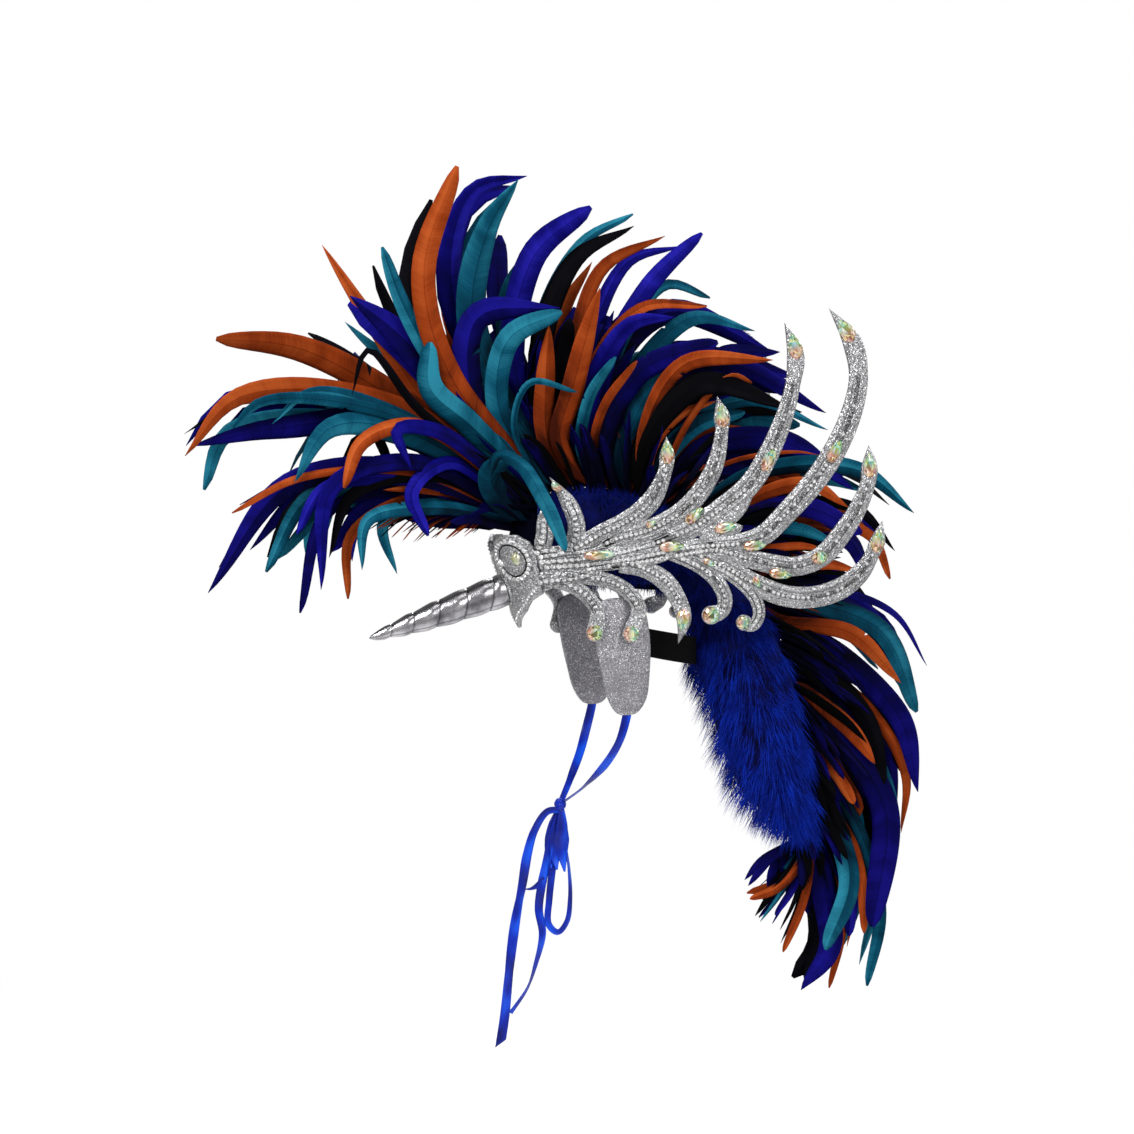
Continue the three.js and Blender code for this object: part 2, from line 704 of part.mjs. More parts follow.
const CHIN_RIBBON = [
  // x, y, z from the foot of the left ear flap to the knot
  [69.3, 4.5, -77.6],
  [67, -3, -105],
  [54, -14, -130],
  [30, -32, -157],
  [5.8, -47.9, -176.3],
];
const sideways = () => [1, 0, 0];

function chinRibbon() {
  return ribbon(CHIN_RIBBON, RIBBON_WIDTH, RIBBON_THICKNESS, 12, ({ x, z }) => [x, 0, z + 90]);
}

function bowKnot() {
  const ball = new THREE.SphereGeometry(KNOT_RADIUS, 10, 6);
  return bare(ball.scale(0.85, 0.75, 1).translate(...KNOT));
}

// Each stretch of the bow: side of the knot it hangs on, width, and y and z of its points
const BOW = {
  gather: { x: 0, width: 16, thickness: 6, path: [[-51, -188.4], [-54, -206], [-55, -248]] },
  loop: {
    x: -2,
    width: 8,
    thickness: RIBBON_THICKNESS,
    path: [[-48, -222], [-42, -250], [-40, -284], [-43, -310], [-55, -322], [-65, -314], [-63, -285], [-56, -240]],
  },
  longTail: {
    x: 2,
    width: RIBBON_WIDTH,
    thickness: RIBBON_THICKNESS,
    path: [[-50, -193], [-68, -187], [-80, -207], [-89, -233], [-94, -268], [-103, -308], [-110, -361], [-114, -408], [-119, -440]],
  },
  shortTail: {
    x: -2,
    width: 7,
    thickness: RIBBON_THICKNESS,
    path: [[-58, -236], [-70, -264], [-73, -296], [-70, -322], [-77, -357], [-88, -381], [-106, -409]],
  },
};

function bowRibbons() {
  const pieces = Object.values(BOW).map(({ x, width, thickness, path }) =>
    ribbon(path.map(([y, z]) => [x, y, z]), width, thickness, path.length + 1, sideways),
  );
  return join(pieces);
}

// Feathers: colour, lane, width, distance of the root along the crest, then y and z of the point
// where the feather has risen, of the point where it starts to fall, and of its tip
const PLUMES = {
  brow: {
    from: 0,
    to: 26,
    feathers: [
      ["navy", 5, 24, 8, -211, 184, -351, 170, -438, 58],
      ["teal", 3, 16, 6, -210, 178, -329, 158, -376, 79],
      ["blue", 9, 18, 13, -215, 195, -309, 168, -322, 61],
      ["navy", 1, 12, 5, -197, 165, -306, 144, -338, 35],
      ["orange", 1, 12, 4, -197, 160, -282, 117, -287, 49],
      ["teal", 9, 15, 6, -193, 146, -271, 134, -278, 81],
      ["teal", 3, 14, 4, -188, 149, -249, 131, -235, 75],
      ["blue", 11, 15, 19, -184, 195, -225, 163, -208, 117],
      ["black", 7, 14, 11, -191, 180, -287, 160, -312, 94],
      ["navy", -1, 30, 4, -184, 154, -261, 142, -302, 99],
      ["navy", -3, 26, 4, -140, 135, -183, 138, -221, 134],
      ["navy", -7, 20, 9, -190, 187, -321, 165, -385, 101],
    ],
  },
  front: {
    from: 27,
    to: 62,
    feathers: [
      ["orange", 2, 30, 41, -193, 235, -337, 314, -426, 323],
      ["orange", 4, 24, 38, -243, 255, -403, 262, -460, 201],
      ["teal", 6, 14, 37, -236, 245, -331, 268, -371, 234],
      ["navy", 0, 25, 34, -229, 236, -361, 231, -450, 211],
      ["teal", -2, 18, 31, -249, 235, -409, 227, -437, 165],
      ["teal", 8, 24, 34, -236, 229, -311, 230, -349, 174],
      ["orange", 10, 16, 32, -216, 233, -279, 215, -298, 167],
      ["blue", 12, 16, 32, -196, 226, -243, 228, -226, 186],
      ["orange", -4, 18, 49, -181, 241, -257, 350, -308, 428],
      ["navy", 4, 35, 50, -178, 272, -235, 331, -287, 370],
      ["teal", 6, 17, 53, -180, 277, -233, 363, -255, 421],
      ["black", 10, 9, 43, -216, 250, -273, 311, -290, 264],
      ["black", -2, 12, 41, -194, 241, -286, 311, -326, 332],
      ["orange", 8, 24, 56, -182, 287, -212, 397, -177, 506],
      ["black", 0, 30, 53, -141, 241, -196, 305, -229, 336],
      ["navy", -4, 28, 37, -159, 219, -225, 251, -290, 262],
    ],
  },
  top: {
    from: 63,
    to: 116,
    feathers: [
      ["blue", 3, 27, 68, -175, 379, -154, 484, -93, 503],
      ["teal", 5, 35, 72, -153, 336, -138, 443, -106, 496],
      ["teal", -3, 15, 81, -104, 296, -107, 383, -70, 441],
      ["blue", 1, 28, 84, -103, 295, -83, 416, -18, 473],
      ["black", -1, 22, 96, -73, 307, -33, 416, 35, 455],
      ["teal", 9, 26, 68, -132, 261, -107, 344, -48, 351],
      ["orange", 7, 22, 84, -70, 219, -75, 283, -72, 341],
      ["orange", 9, 24, 101, -57, 219, -48, 273, -19, 382],
      ["black", 3, 20, 90, -63, 230, -55, 295, -44, 352],
      ["navy", -7, 30, 101, -78, 264, -110, 374, -109, 445],
      ["orange", -9, 18, 107, -42, 265, -40, 353, -1, 419],
      ["blue", -5, 24, 112, -34, 264, -22, 341, 7, 384],
    ],
  },
  crown: {
    from: 117,
    to: 196,
    feathers: [
      ["navy", 8, 24, 131, -3, 209, 30, 293, 117, 327],
      ["teal", 6, 24, 143, 18, 203, 39, 265, 91, 318],
      ["orange", 10, 18, 160, 35, 230, 77, 302, 177, 307],
      ["navy", 4, 20, 155, 47, 242, 126, 304, 251, 251],
      ["black", 12, 25, 153, 34, 214, 92, 280, 195, 255],
      ["teal", 2, 14, 160, 84, 231, 165, 265, 257, 232],
      ["orange", 0, 18, 124, -32, 274, -6, 405, 69, 445],
      ["blue", -2, 16, 129, -21, 275, 26, 414, 92, 435],
      ["blue", 2, 20, 136, -8, 274, 42, 384, 107, 448],
      ["teal", -6, 12, 142, 13, 287, 79, 394, 132, 380],
      ["orange", 4, 12, 130, -22, 285, 34, 364, 110, 367],
      ["teal", -2, 20, 150, 25, 264, 101, 356, 177, 343],
      ["blue", 6, 22, 134, -22, 263, 20, 344, 70, 354],
      ["navy", -8, 26, 160, 61, 243, 109, 283, 194, 284],
      ["navy", 4, 24, 186, 105, 209, 197, 220, 285, 165],
      ["teal", 6, 16, 173, 65, 198, 102, 236, 153, 251],
    ],
  },
  back: {
    from: 197,
    to: 352,
    feathers: [
      ["teal", 5, 19, 212, 162, 182, 288, 187, 355, 139],
      ["orange", 7, 16, 242, 171, 159, 228, 170, 273, 146],
      ["black", 3, 13, 260, 211, 148, 292, 142, 337, 96],
      ["orange", 1, 12, 277, 226, 131, 310, 114, 335, 64],
      ["navy", 9, 22, 255, 171, 141, 226, 145, 287, 117],
      ["navy", -3, 22, 291, 232, 114, 293, 108, 315, 68],
      ["teal", 7, 14, 265, 175, 120, 218, 122, 262, 103],
      ["orange", 5, 14, 320, 212, 78, 251, 83, 292, 73],
      ["teal", 3, 24, 325, 237, 39, 322, 4, 365, -88],
      ["navy", 7, 8, 328, 255, 53, 331, 25, 369, -34],
      ["orange", 9, 18, 340, 202, 18, 276, 5, 335, -52],
      ["navy", -5, 24, 308, 233, 57, 309, 28, 355, -31],
    ],
  },
  nape: {
    from: 353,
    to: 614,
    feathers: [
      ["navy", 6, 25, 370, 248, -6, 337, -89, 362, -177],
      ["black", 8, 20, 397, 255, -42, 300, -96, 319, -166],
      ["orange", 2, 12, 405, 287, -61, 353, -154, 348, -226],
      ["blue", 10, 30, 447, 267, -109, 318, -195, 300, -325],
      ["orange", 12, 18, 435, 237, -66, 279, -102, 304, -142],
      ["teal", 4, 14, 430, 296, -106, 338, -198, 325, -282],
      ["orange", 12, 14, 499, 244, -134, 269, -160, 285, -188],
      ["teal", 8, 28, 546, 264, -202, 280, -274, 248, -350],
      ["blue", 10, 26, 588, 247, -252, 250, -343, 214, -390],
      ["orange", 6, 12, 563, 279, -219, 296, -275, 297, -335],
      ["teal", 4, 14, 529, 286, -197, 320, -311, 303, -397],
      ["navy", 6, 12, 606, 236, -246, 200, -258, 159, -276],
      ["orange", 8, 10, 606, 233, -254, 200, -279, 158, -289],
      ["black", -2, 12, 606, 230, -259, 204, -287, 179, -316],
      ["orange", 0, 9, 592, 272, -266, 280, -335, 265, -401],
      ["navy", -6, 24, 465, 296, -144, 336, -226, 323, -325],
      ["teal", -8, 22, 511, 283, -189, 309, -284, 290, -365],
      ["black", -4, 20, 597, 256, -267, 266, -338, 243, -394],
    ],
  },
};

addNode("front_shield", frontShield(), materials.glitter);
addNode("horn", horn(), materials.horn);
const leftWing = wingFoam();
addNode("left_wing", leftWing, materials.glitter);
addNode("right_wing", mirrored(leftWing), materials.glitter);
const leftStones = wingStones();
addNode("left_rhinestones", leftStones, materials.stones);
addNode("right_rhinestones", mirrored(leftStones), materials.stones);
for (const row of CRYSTALS) {
  const stone = crystal(row);
  addNode(`left_${row[0]}_crystal`, stone, materials.crystal);
  addNode(`right_${row[0]}_crystal`, mirrored(stone), materials.crystal);
}
const leftFlap = earFlap();
addNode("left_ear_flap", leftFlap, materials.glitter);
addNode("right_ear_flap", mirrored(leftFlap), materials.glitter);
addNode("elastic_strap", elasticStrap(), materials.elastic);
addNode("crest_spine", crestFin(), materials.fin);
const leftMarabou = marabouRoll();
addNode("left_marabou", leftMarabou, materials.marabou);
addNode("right_marabou", mirrored(leftMarabou), materials.marabou);
for (const [name, { from, to, feathers }] of Object.entries(PLUMES)) {
  addNode(`plume_${name}`, plume(from, to, feathers), materials.feather);
}
const leftTie = chinRibbon();
addNode("left_chin_ribbon", leftTie, materials.satin);
addNode("right_chin_ribbon", mirrored(leftTie), materials.satin);
addNode("bow_knot", bowKnot(), materials.satin);
addNode("bow_ribbons", bowRibbons(), materials.satin);

export default part;
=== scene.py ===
# %% [markdown]
# # A showgirl headdress: glitter foam, cut stones, marabou and cock feathers
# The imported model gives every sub-part at its real size. This lesson dresses it, from the camera and
# the lights to the last feather. Lengths in the tables are millimetres, because craft foam, stones
# and ribbon are sold that way, and each piece turns to metres when its mesh is made.

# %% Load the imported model
import json
import math
import random

import bmesh
import bpy
import numpy as np
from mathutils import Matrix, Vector

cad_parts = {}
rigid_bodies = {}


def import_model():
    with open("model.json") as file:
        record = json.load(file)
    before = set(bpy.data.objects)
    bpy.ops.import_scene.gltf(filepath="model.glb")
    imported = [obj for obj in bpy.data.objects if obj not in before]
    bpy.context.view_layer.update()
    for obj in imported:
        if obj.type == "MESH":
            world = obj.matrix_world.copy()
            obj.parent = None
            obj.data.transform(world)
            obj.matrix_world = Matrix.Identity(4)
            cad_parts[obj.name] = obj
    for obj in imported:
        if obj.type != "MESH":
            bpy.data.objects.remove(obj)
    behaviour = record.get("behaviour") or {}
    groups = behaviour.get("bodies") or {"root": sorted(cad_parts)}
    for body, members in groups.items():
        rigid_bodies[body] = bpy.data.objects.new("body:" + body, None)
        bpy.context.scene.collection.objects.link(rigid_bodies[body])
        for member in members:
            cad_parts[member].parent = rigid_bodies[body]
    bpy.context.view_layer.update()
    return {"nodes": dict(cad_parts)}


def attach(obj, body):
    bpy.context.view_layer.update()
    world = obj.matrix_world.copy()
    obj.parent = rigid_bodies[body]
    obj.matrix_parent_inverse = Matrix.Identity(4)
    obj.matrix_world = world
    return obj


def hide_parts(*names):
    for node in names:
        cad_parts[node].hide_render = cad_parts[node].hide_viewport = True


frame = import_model()
MM = 0.001
print("sub-parts in the frame:", len(frame["nodes"]))

# %% [markdown]
# ## Camera
# The photograph was taken from the wearer's left, turned 15 degrees toward the face and almost level.
# The camera comes first, because the feathers are drawn through it: a feather has no size that can be
# measured with a ruler, only a place in the picture and a lane in the crest.

# %% Place the camera
PHOTO_SIDE = 1134
LENS = 75.04
SENSOR = 36.0
AZIMUTH = 75
ELEVATION = 2
CAMERA_DISTANCE = 2.6
AIM = Vector((-0.0108, -0.0404, 0.0803))


def direction_to(azimuth, elevation):
    """The way toward a viewer or a lamp at two angles in degrees; azimuth 0 is in front of the face."""
    turn, rise = math.radians(azimuth), math.radians(elevation)
    return Vector((math.sin(turn) * math.cos(rise), -math.cos(turn) * math.cos(rise), math.sin(rise)))


toward_camera = direction_to(AZIMUTH, ELEVATION)
camera_data = bpy.data.cameras.new("camera")
camera_data.lens = LENS
camera_data.sensor_width = SENSOR
camera = bpy.data.objects.new("camera", camera_data)
camera.location = AIM + toward_camera * CAMERA_DISTANCE
camera.rotation_mode = "QUATERNION"
camera.rotation_quaternion = (-toward_camera).to_track_quat("-Z", "Y")
bpy.context.scene.collection.objects.link(camera)
bpy.context.scene.camera = camera


def seen_at(px, py, x):
    """Where a pixel of the picture meets the upright plane at x, as y and z in millimetres."""
    focal = LENS / SENSOR * PHOTO_SIDE
    middle = PHOTO_SIDE / 2
    ray = camera.rotation_quaternion @ Vector((px - middle, middle - py, -focal))
    start = camera.location / MM
    point = start + ray * ((x - start.x) / ray.x)
    return point.y, point.z


print("camera at", [round(value, 3) for value in camera.location], "m")

# %% [markdown]
# ## Floor, sky and lights
# The picture has a plain white ground. The floor fades out before it ends, so that no edge shows, and
# only the camera sees the sky as pure white. For everything else the sky is bright at the horizon and
# darker above, which is what gives silver leather its dark and light bands.

# %% Helpers for shader nodes


def node(tree, kind, inputs=None, **settings):
    """Adds a shader node, links the inputs that are sockets and sets the others."""
    made = tree.nodes.new(kind)
    for name, value in settings.items():
        setattr(made, name, value)
    for name, value in (inputs or {}).items():
        if isinstance(value, bpy.types.NodeSocket):
            tree.links.new(value, made.inputs[name])
        else:
            made.inputs[name].default_value = value
    return made


def ramp(tree, factor, stops):
    """The colour that a colour ramp through (position, colour) stops gives."""
    made = node(tree, "ShaderNodeValToRGB", {"Fac": factor})
    elements = made.color_ramp.elements
    while len(elements) < len(stops):
        elements.new(0.5)
    for element, (position, colour) in zip(elements, stops):
        element.position = position
        element.color = colour
    return made.outputs["Color"]


def grey(value):
    return (value, value, value, 1)


def object_place(tree):
    """Where a point lies on the object, so that a pattern stays still when the view moves."""
    return node(tree, "ShaderNodeTexCoord").outputs["Object"]


def stored(tree, name, output="Fac"):
    """A value that the mesh stores at each of its corners."""
    return node(tree, "ShaderNodeAttribute", attribute_name=name).outputs[output]


def combined(tree, operation, *values):
    """The result of one step of arithmetic on numbers or sockets."""
    return node(tree, "ShaderNodeMath", dict(enumerate(values)), operation=operation).outputs[0]


print("middle grey for a shader:", grey(0.5))

# %% Sky


def light_sky():
    world = bpy.data.worlds.new("sky")
    bpy.context.scene.world = world
    world.use_nodes = True
    tree = world.node_tree
    tree.nodes.clear()
    direction = node(tree, "ShaderNodeTexCoord").outputs["Generated"]
    height = node(tree, "ShaderNodeSeparateXYZ", {"Vector": direction}).outputs["Z"]
    share = node(tree, "ShaderNodeMapRange", {"Value": height, "From Min": -1.0, "From Max": 1.0})
    shade = ramp(tree, share.outputs["Result"], [
        (0.0, grey(0.4)), (0.42, grey(0.55)), (0.52, grey(0.95)), (0.62, grey(0.5)), (0.8, grey(0.16)),
        (1.0, grey(0.1)),
    ])
    lighting = node(tree, "ShaderNodeBackground", {"Color": shade, "Strength": 0.85})
    white = node(tree, "ShaderNodeBackground", {"Color": grey(1), "Strength": 1.0})
    seen = node(tree, "ShaderNodeLightPath").outputs["Is Camera Ray"]
    sky = node(tree, "ShaderNodeMixShader", {0: seen, 1: lighting.outputs[0], 2: white.outputs[0]})
    node(tree, "ShaderNodeOutputWorld", {"Surface": sky.outputs[0]})


light_sky()
print("sky:", bpy.context.scene.world.name)

# %% Lamps


def soft_light(name, azimuth, elevation, distance, side, power):
    """A square soft box that looks at the middle of the object."""
    data = bpy.data.lights.new(name, "AREA")
    data.shape = "SQUARE"
    data.size = side
    data.energy = power
    lamp = bpy.data.objects.new(name, data)
    away = direction_to(azimuth, elevation)
    lamp.location = AIM + away * distance
    lamp.rotation_mode = "QUATERNION"
    lamp.rotation_quaternion = (-away).to_track_quat("-Z", "Y")
    bpy.context.scene.collection.objects.link(lamp)


LAMPS = [
    # name, degrees round and up, metres away, side in metres, watts
    ("key", 40, 38, 3.0, 0.9, 75),
    ("side", 110, 25, 3.2, 1.4, 42),
    ("far_side", 250, 35, 3.2, 1.4, 62),
    ("back", 175, 30, 3.2, 1.4, 34),
    ("top", 90, 80, 2.8, 1.2, 22),
]
for lamp_values in LAMPS:
    soft_light(*lamp_values)
print("lamps:", len(LAMPS))

# %% Floor
FLOOR_Z = -0.64
FLOOR_RADIUS = 2.4


def pale_floor():
    bm = bmesh.new()
    bmesh.ops.create_circle(bm, cap_ends=True, segments=96, radius=FLOOR_RADIUS)
    bmesh.ops.translate(bm, vec=(0, 0, FLOOR_Z), verts=bm.verts)
    mesh = bpy.data.meshes.new("floor")
    bm.to_mesh(mesh)
    bm.free()
    floor = bpy.data.objects.new("floor", mesh)
    bpy.context.scene.collection.objects.link(floor)
    paint = bpy.data.materials.new("pale_floor")
    paint.use_nodes = True
    tree = paint.node_tree
    body = tree.nodes["Principled BSDF"]
    body.inputs["Base Color"].default_value = grey(0.93)
    body.inputs["Roughness"].default_value = 0.7
    place = object_place(tree)
    away = node(tree, "ShaderNodeVectorMath", {0: place, 1: (0, 0, FLOOR_Z)}, operation="DISTANCE")
    fade = node(tree, "ShaderNodeMapRange", {
        "Value": away.outputs["Value"], "From Min": 0.1, "From Max": FLOOR_RADIUS * 0.8,
    }, interpolation_type="SMOOTHSTEP")
    clear = node(tree, "ShaderNodeBsdfTransparent")
    mixed = node(tree, "ShaderNodeMixShader", {
        0: fade.outputs["Result"], 1: body.outputs[0], 2: clear.outputs[0],
    })
    tree.links.new(mixed.outputs[0], tree.nodes["Material Output"].inputs["Surface"])
    mesh.materials.append(paint)


pale_floor()
bpy.context.scene.view_settings.view_transform = "Standard"
print("floor at", FLOOR_Z, "m")

# %% [markdown]
# ## Glitter foam
# The foam sheet is faced with hexagonal glitter: thousands of tiny mirrors, each tilted its own way.
# A Voronoi texture gives one random colour to each cell, and that colour turns the normal, so that some
# cells flash and others stay grey. Bump alone would only look sandy. A value stored on the mesh darkens
# the grooves and the lines between the rows of stones to near black: painted shade.

# %% Glitter material


def srgb(red, green, blue):
    """A colour as the eye reads it, 0 to 255, turned into the linear colour that shaders need."""
    linear = []
    for share in (red / 255, green / 255, blue / 255):
        linear.append(share / 12.92 if share < 0.0404 else ((share + 0.055) / 1.055) ** 2.4)
    return (*linear, 1)


def new_finish(name, colour, roughness=0.5, metallic=0.0, **sockets):
    """A material whose plain values sit on the shader's own sockets; returns it with its tree and shader."""
    finish = bpy.data.materials.new(name)
    finish.use_nodes = True
    tree = finish.node_tree
    shader = tree.nodes["Principled BSDF"]
    shader.inputs["Base Color"].default_value = colour
    shader.inputs["Roughness"].default_value = roughness
    shader.inputs["Metallic"].default_value = metallic
    for socket, value in sockets.items():
        shader.inputs[socket.replace("_", " ")].default_value = value
    return finish, tree, shader


def tilted_flakes(tree, place, cell, tilt):
    """Random colour of each flake, and the surface normal turned by it."""
    flakes = node(tree, "ShaderNodeTexVoronoi", {"Vector": place, "Scale": 1 / cell, "Randomness": 1.0})
    colour = flakes.outputs["Color"]
    lean = node(tree, "ShaderNodeVectorMath", {0: colour, 1: (0.5, 0.5, 0.5)}, operation="SUBTRACT")
    lean = node(tree, "ShaderNodeVectorMath", {0: lean.outputs[0], "Scale": tilt}, operation="SCALE")
    face = node(tree, "ShaderNodeNewGeometry").outputs["Normal"]
    turned = node(tree, "ShaderNodeVectorMath", {0: face, 1: lean.outputs[0]}, operation="ADD")
    turned = node(tree, "ShaderNodeVectorMath", {0: turned.outputs[0]}, operation="NORMALIZE")
    return colour, turned.outputs[0]


def glitter(name, dark, light, cell, tilt):
    """Glitter with flakes of the given size in metres; tilt says how far each leans its own way."""
    finish, tree, shader = new_finish(name, light, 0.34, 0.7, Specular_IOR_Level=0.5)
    place = object_place(tree)
    colour, normal = tilted_flakes(tree, place, cell, tilt)
    luck = node(tree, "ShaderNodeSeparateXYZ", {"Vector": colour}).outputs["X"]
    flake = ramp(tree, luck, [(0.0, dark), (0.45, light), (0.9, light), (0.96, grey(0.95)), (1.0, grey(1))])
    patches = node(tree, "ShaderNodeTexNoise", {"Vector": place, "Scale": 55.0, "Detail": 3.0})
    worn = node(tree, "ShaderNodeMapRange", {
        "Value": patches.outputs["Fac"], "From Min": 0.3, "From Max": 0.7, "To Min": 0.82, "To Max": 1.08,
    })
    # Painted shade: the stored groove value darkens grooves and the gaps between rows to near black.
    groove = stored(tree, "groove")
    painted_groove_shade = node(tree, "ShaderNodeMapRange", {"Value": groove, "To Min": 1.0, "To Max": 0.03})
    shade = combined(tree, "MULTIPLY", worn.outputs[0], painted_groove_shade.outputs[0])
    tone = node(tree, "ShaderNodeVectorMath", {0: flake, "Scale": shade}, operation="SCALE")
    tree.links.new(tone.outputs[0], shader.inputs["Base Color"])
    tree.links.new(normal, shader.inputs["Normal"])
    return finish


wing_glitter = glitter("wing_glitter", srgb(80, 80, 83), srgb(164, 164, 166), 0.0009, 0.8)
flap_glitter = glitter("flap_glitter", srgb(100, 98, 104), srgb(156, 154, 160), 0.0007, 0.6)
print("glitter:", wing_glitter.name, "and", flap_glitter.name)

# %% [markdown]
# ## Leather, stones, elastic, ribbon and down
# Silver leather is nearly a mirror with fine wrinkles. The small stones are foil-backed glass, metal to the
# eye, with painted glints: a random grey on each facet. The large ones have the rainbow coating that makes each
# facet another pastel: the facet's own direction picks its colour, which stays put when the view moves.

# %% Leather


def bump_from(tree, height, strength, distance):
    """The surface normal that a height gives, for weave, grain and wrinkles; distance is in metres."""
    bump = node(tree, "ShaderNodeBump", {"Height": height, "Strength": strength, "Distance": distance})
    return bump.outputs[0]


def silver_leather():
    finish, tree, shader = new_finish("silver_leather", srgb(205, 203, 205), 0.17, 1.0)
    place = object_place(tree)
    stretched = node(tree, "ShaderNodeMapping", {"Vector": place, "Scale": (1.0, 0.55, 1.0)}).outputs[0]
    wrinkles = node(tree, "ShaderNodeTexNoise", {
        "Vector": stretched, "Scale": 150.0, "Detail": 5.0, "Roughness": 0.55, "Distortion": 0.6,
    })
    grain = node(tree, "ShaderNodeTexVoronoi", {"Vector": place, "Scale": 900.0})
    pores = combined(tree, "MULTIPLY", grain.outputs["Distance"], 0.12)
    height = combined(tree, "ADD", wrinkles.outputs["Fac"], pores)
    # Painted shade: the stored groove value darkens the horn's binding rings and its seam.
    groove = stored(tree, "groove")
    painted_ring_shade = node(tree, "ShaderNodeMapRange", {"Value": groove, "To Min": 1.0, "To Max": 0.12})
    cloudy = node(tree, "ShaderNodeTexNoise", {"Vector": place, "Scale": 45.0, "Detail": 4.0})
    silver = ramp(tree, cloudy.outputs["Fac"], [(0.3, srgb(108, 106, 111)), (0.65, srgb(196, 194, 197))])
    tone = node(tree, "ShaderNodeVectorMath", {0: silver, "Scale": painted_ring_shade.outputs[0]}, operation="SCALE")
    tree.links.new(tone.outputs[0], shader.inputs["Base Color"])
    rough = node(tree, "ShaderNodeMapRange", {"Value": cloudy.outputs["Fac"], "To Min": 0.32, "To Max": 0.22})
    tree.links.new(rough.outputs[0], shader.inputs["Roughness"])
    tree.links.new(bump_from(tree, height, 0.35, 0.0012), shader.inputs["Normal"])
    return finish


leather = silver_leather()
print("leather:", leather.name)

# %% Stones


def facet_luck(tree):
    """A random number for each flat facet, from the direction that it faces."""
    facing = node(tree, "ShaderNodeNewGeometry").outputs["True Normal"]
    return node(tree, "ShaderNodeTexWhiteNoise", {"Vector": facing}, noise_dimensions="3D").outputs["Value"]


# Painted glints: each facet's random grey stands in for what the foil-backed glass reflects.
def small_stone(name, stops):
    finish, tree, shader = new_finish(name, grey(0.8), 0.08, 0.5)
    tree.links.new(ramp(tree, facet_luck(tree), stops), shader.inputs["Base Color"])
    return finish


# The coating's pastels, partly painted glints: the palest and darkest facets stand in for reflections.
def rainbow_crystal():
    finish, tree, shader = new_finish("rainbow_crystal", grey(0.8), 0.05, 0.35, IOR=1.6, Coat_Weight=0.5)
    luck = facet_luck(tree)
    leafy = ramp(tree, luck, [
        (0.0, srgb(60, 84, 56)), (0.18, srgb(150, 176, 96)), (0.34, srgb(226, 230, 170)),
        (0.5, srgb(84, 190, 150)), (0.64, srgb(244, 246, 236)), (0.8, srgb(60, 160, 170)),
        (1.0, srgb(176, 160, 84)),
    ])
    rosy = ramp(tree, luck, [
        (0.0, srgb(78, 54, 34)), (0.18, srgb(176, 112, 66)), (0.34, srgb(206, 158, 168)),
        (0.5, srgb(236, 214, 150)), (0.64, srgb(104, 92, 70)), (0.8, srgb(190, 116, 80)),
        (1.0, srgb(240, 232, 220)),
    ])
    along = stored(tree, "along")
    mixed = node(tree, "ShaderNodeMapRange", {"Value": along, "From Min": 0.3, "From Max": 0.62})
    colour = node(tree, "ShaderNodeMix", {0: mixed.outputs[0], 6: rosy, 7: leafy}, data_type="RGBA")
    tree.links.new(colour.outputs[2], shader.inputs["Base Color"])
    return finish


clear_stone = small_stone("clear_stone", [
    (0.0, grey(0.16)), (0.25, grey(0.6)), (0.45, grey(0.95)), (0.7, grey(0.75)), (1.0, grey(1)),
])
dark_stone = small_stone("dark_stone", [
    (0.0, grey(0.015)), (0.5, grey(0.09)), (0.85, grey(0.4)), (1.0, grey(0.8)),
])
crystal_glass = rainbow_crystal()
print("stones:", clear_stone.name, dark_stone.name, crystal_glass.name)

# %% Elastic and satin
RIB_PITCH = 0.0016


def ribbed_elastic():
    finish, tree, shader = new_finish("ribbed_elastic", srgb(3, 3, 4), 0.9, 0.0, Specular_IOR_Level=0.08)
    height = node(tree, "ShaderNodeSeparateXYZ", {"Vector": object_place(tree)}).outputs["Z"]
    ribs = combined(tree, "SINE", combined(tree, "MULTIPLY", height, 2 * math.pi / RIB_PITCH))
    tree.links.new(bump_from(tree, ribs, 0.6, 0.0003), shader.inputs["Normal"])
    return finish


def woven_satin():
    finish, tree, shader = new_finish(
        "blue_satin", srgb(6, 34, 170), 0.36, 0.0, Anisotropic=0.4, Specular_IOR_Level=0.25,
    )
    across = stored(tree, "barb", "Vector")
    threads = node(tree, "ShaderNodeMapping", {"Vector": across, "Scale": (60.0, 3500.0, 1.0)}).outputs[0]
    weave = node(tree, "ShaderNodeTexNoise", {"Vector": threads, "Scale": 1.0, "Detail": 2.0})
    # Painted highlight and shade: broad noise along the ribbon paints its light and dark stretches.
    painted_satin_stretches = node(tree, "ShaderNodeMapping", {"Vector": across, "Scale": (24.0, 60.0, 1.0)}).outputs[0]
    painted_satin_stretches = node(tree, "ShaderNodeTexNoise", {"Vector": painted_satin_stretches, "Scale": 1.0, "Detail": 1.0})
    tone = ramp(tree, painted_satin_stretches.outputs["Fac"], [
        (0.32, srgb(0, 10, 96)), (0.5, srgb(1, 34, 158)), (0.68, srgb(8, 76, 214)),
    ])
    tree.links.new(tone, shader.inputs["Base Color"])
    tree.links.new(bump_from(tree, weave.outputs["Fac"], 0.15, 0.0001), shader.inputs["Normal"])
    return finish


elastic_black = ribbed_elastic()
satin = woven_satin()
print("fabrics:", elastic_black.name, satin.name)

# %% Down and plain foam


def blue_down(name, dark, light):
    finish, tree, shader = new_finish(
        name, light, 0.9, 0.0, Specular_IOR_Level=0.1, Sheen_Weight=0.2, Sheen_Tint=srgb(60, 100, 240),
    )
    luck = stored(tree, "tone")
    place = object_place(tree)
    clumps = node(tree, "ShaderNodeTexNoise", {"Vector": place, "Scale": 60.0, "Detail": 3.0})
    mixed = combined(tree, "ADD", luck, clumps.outputs["Fac"])
    tree.links.new(ramp(tree, mixed, [(0.3, dark), (1.0, light)]), shader.inputs["Base Color"])
    return finish


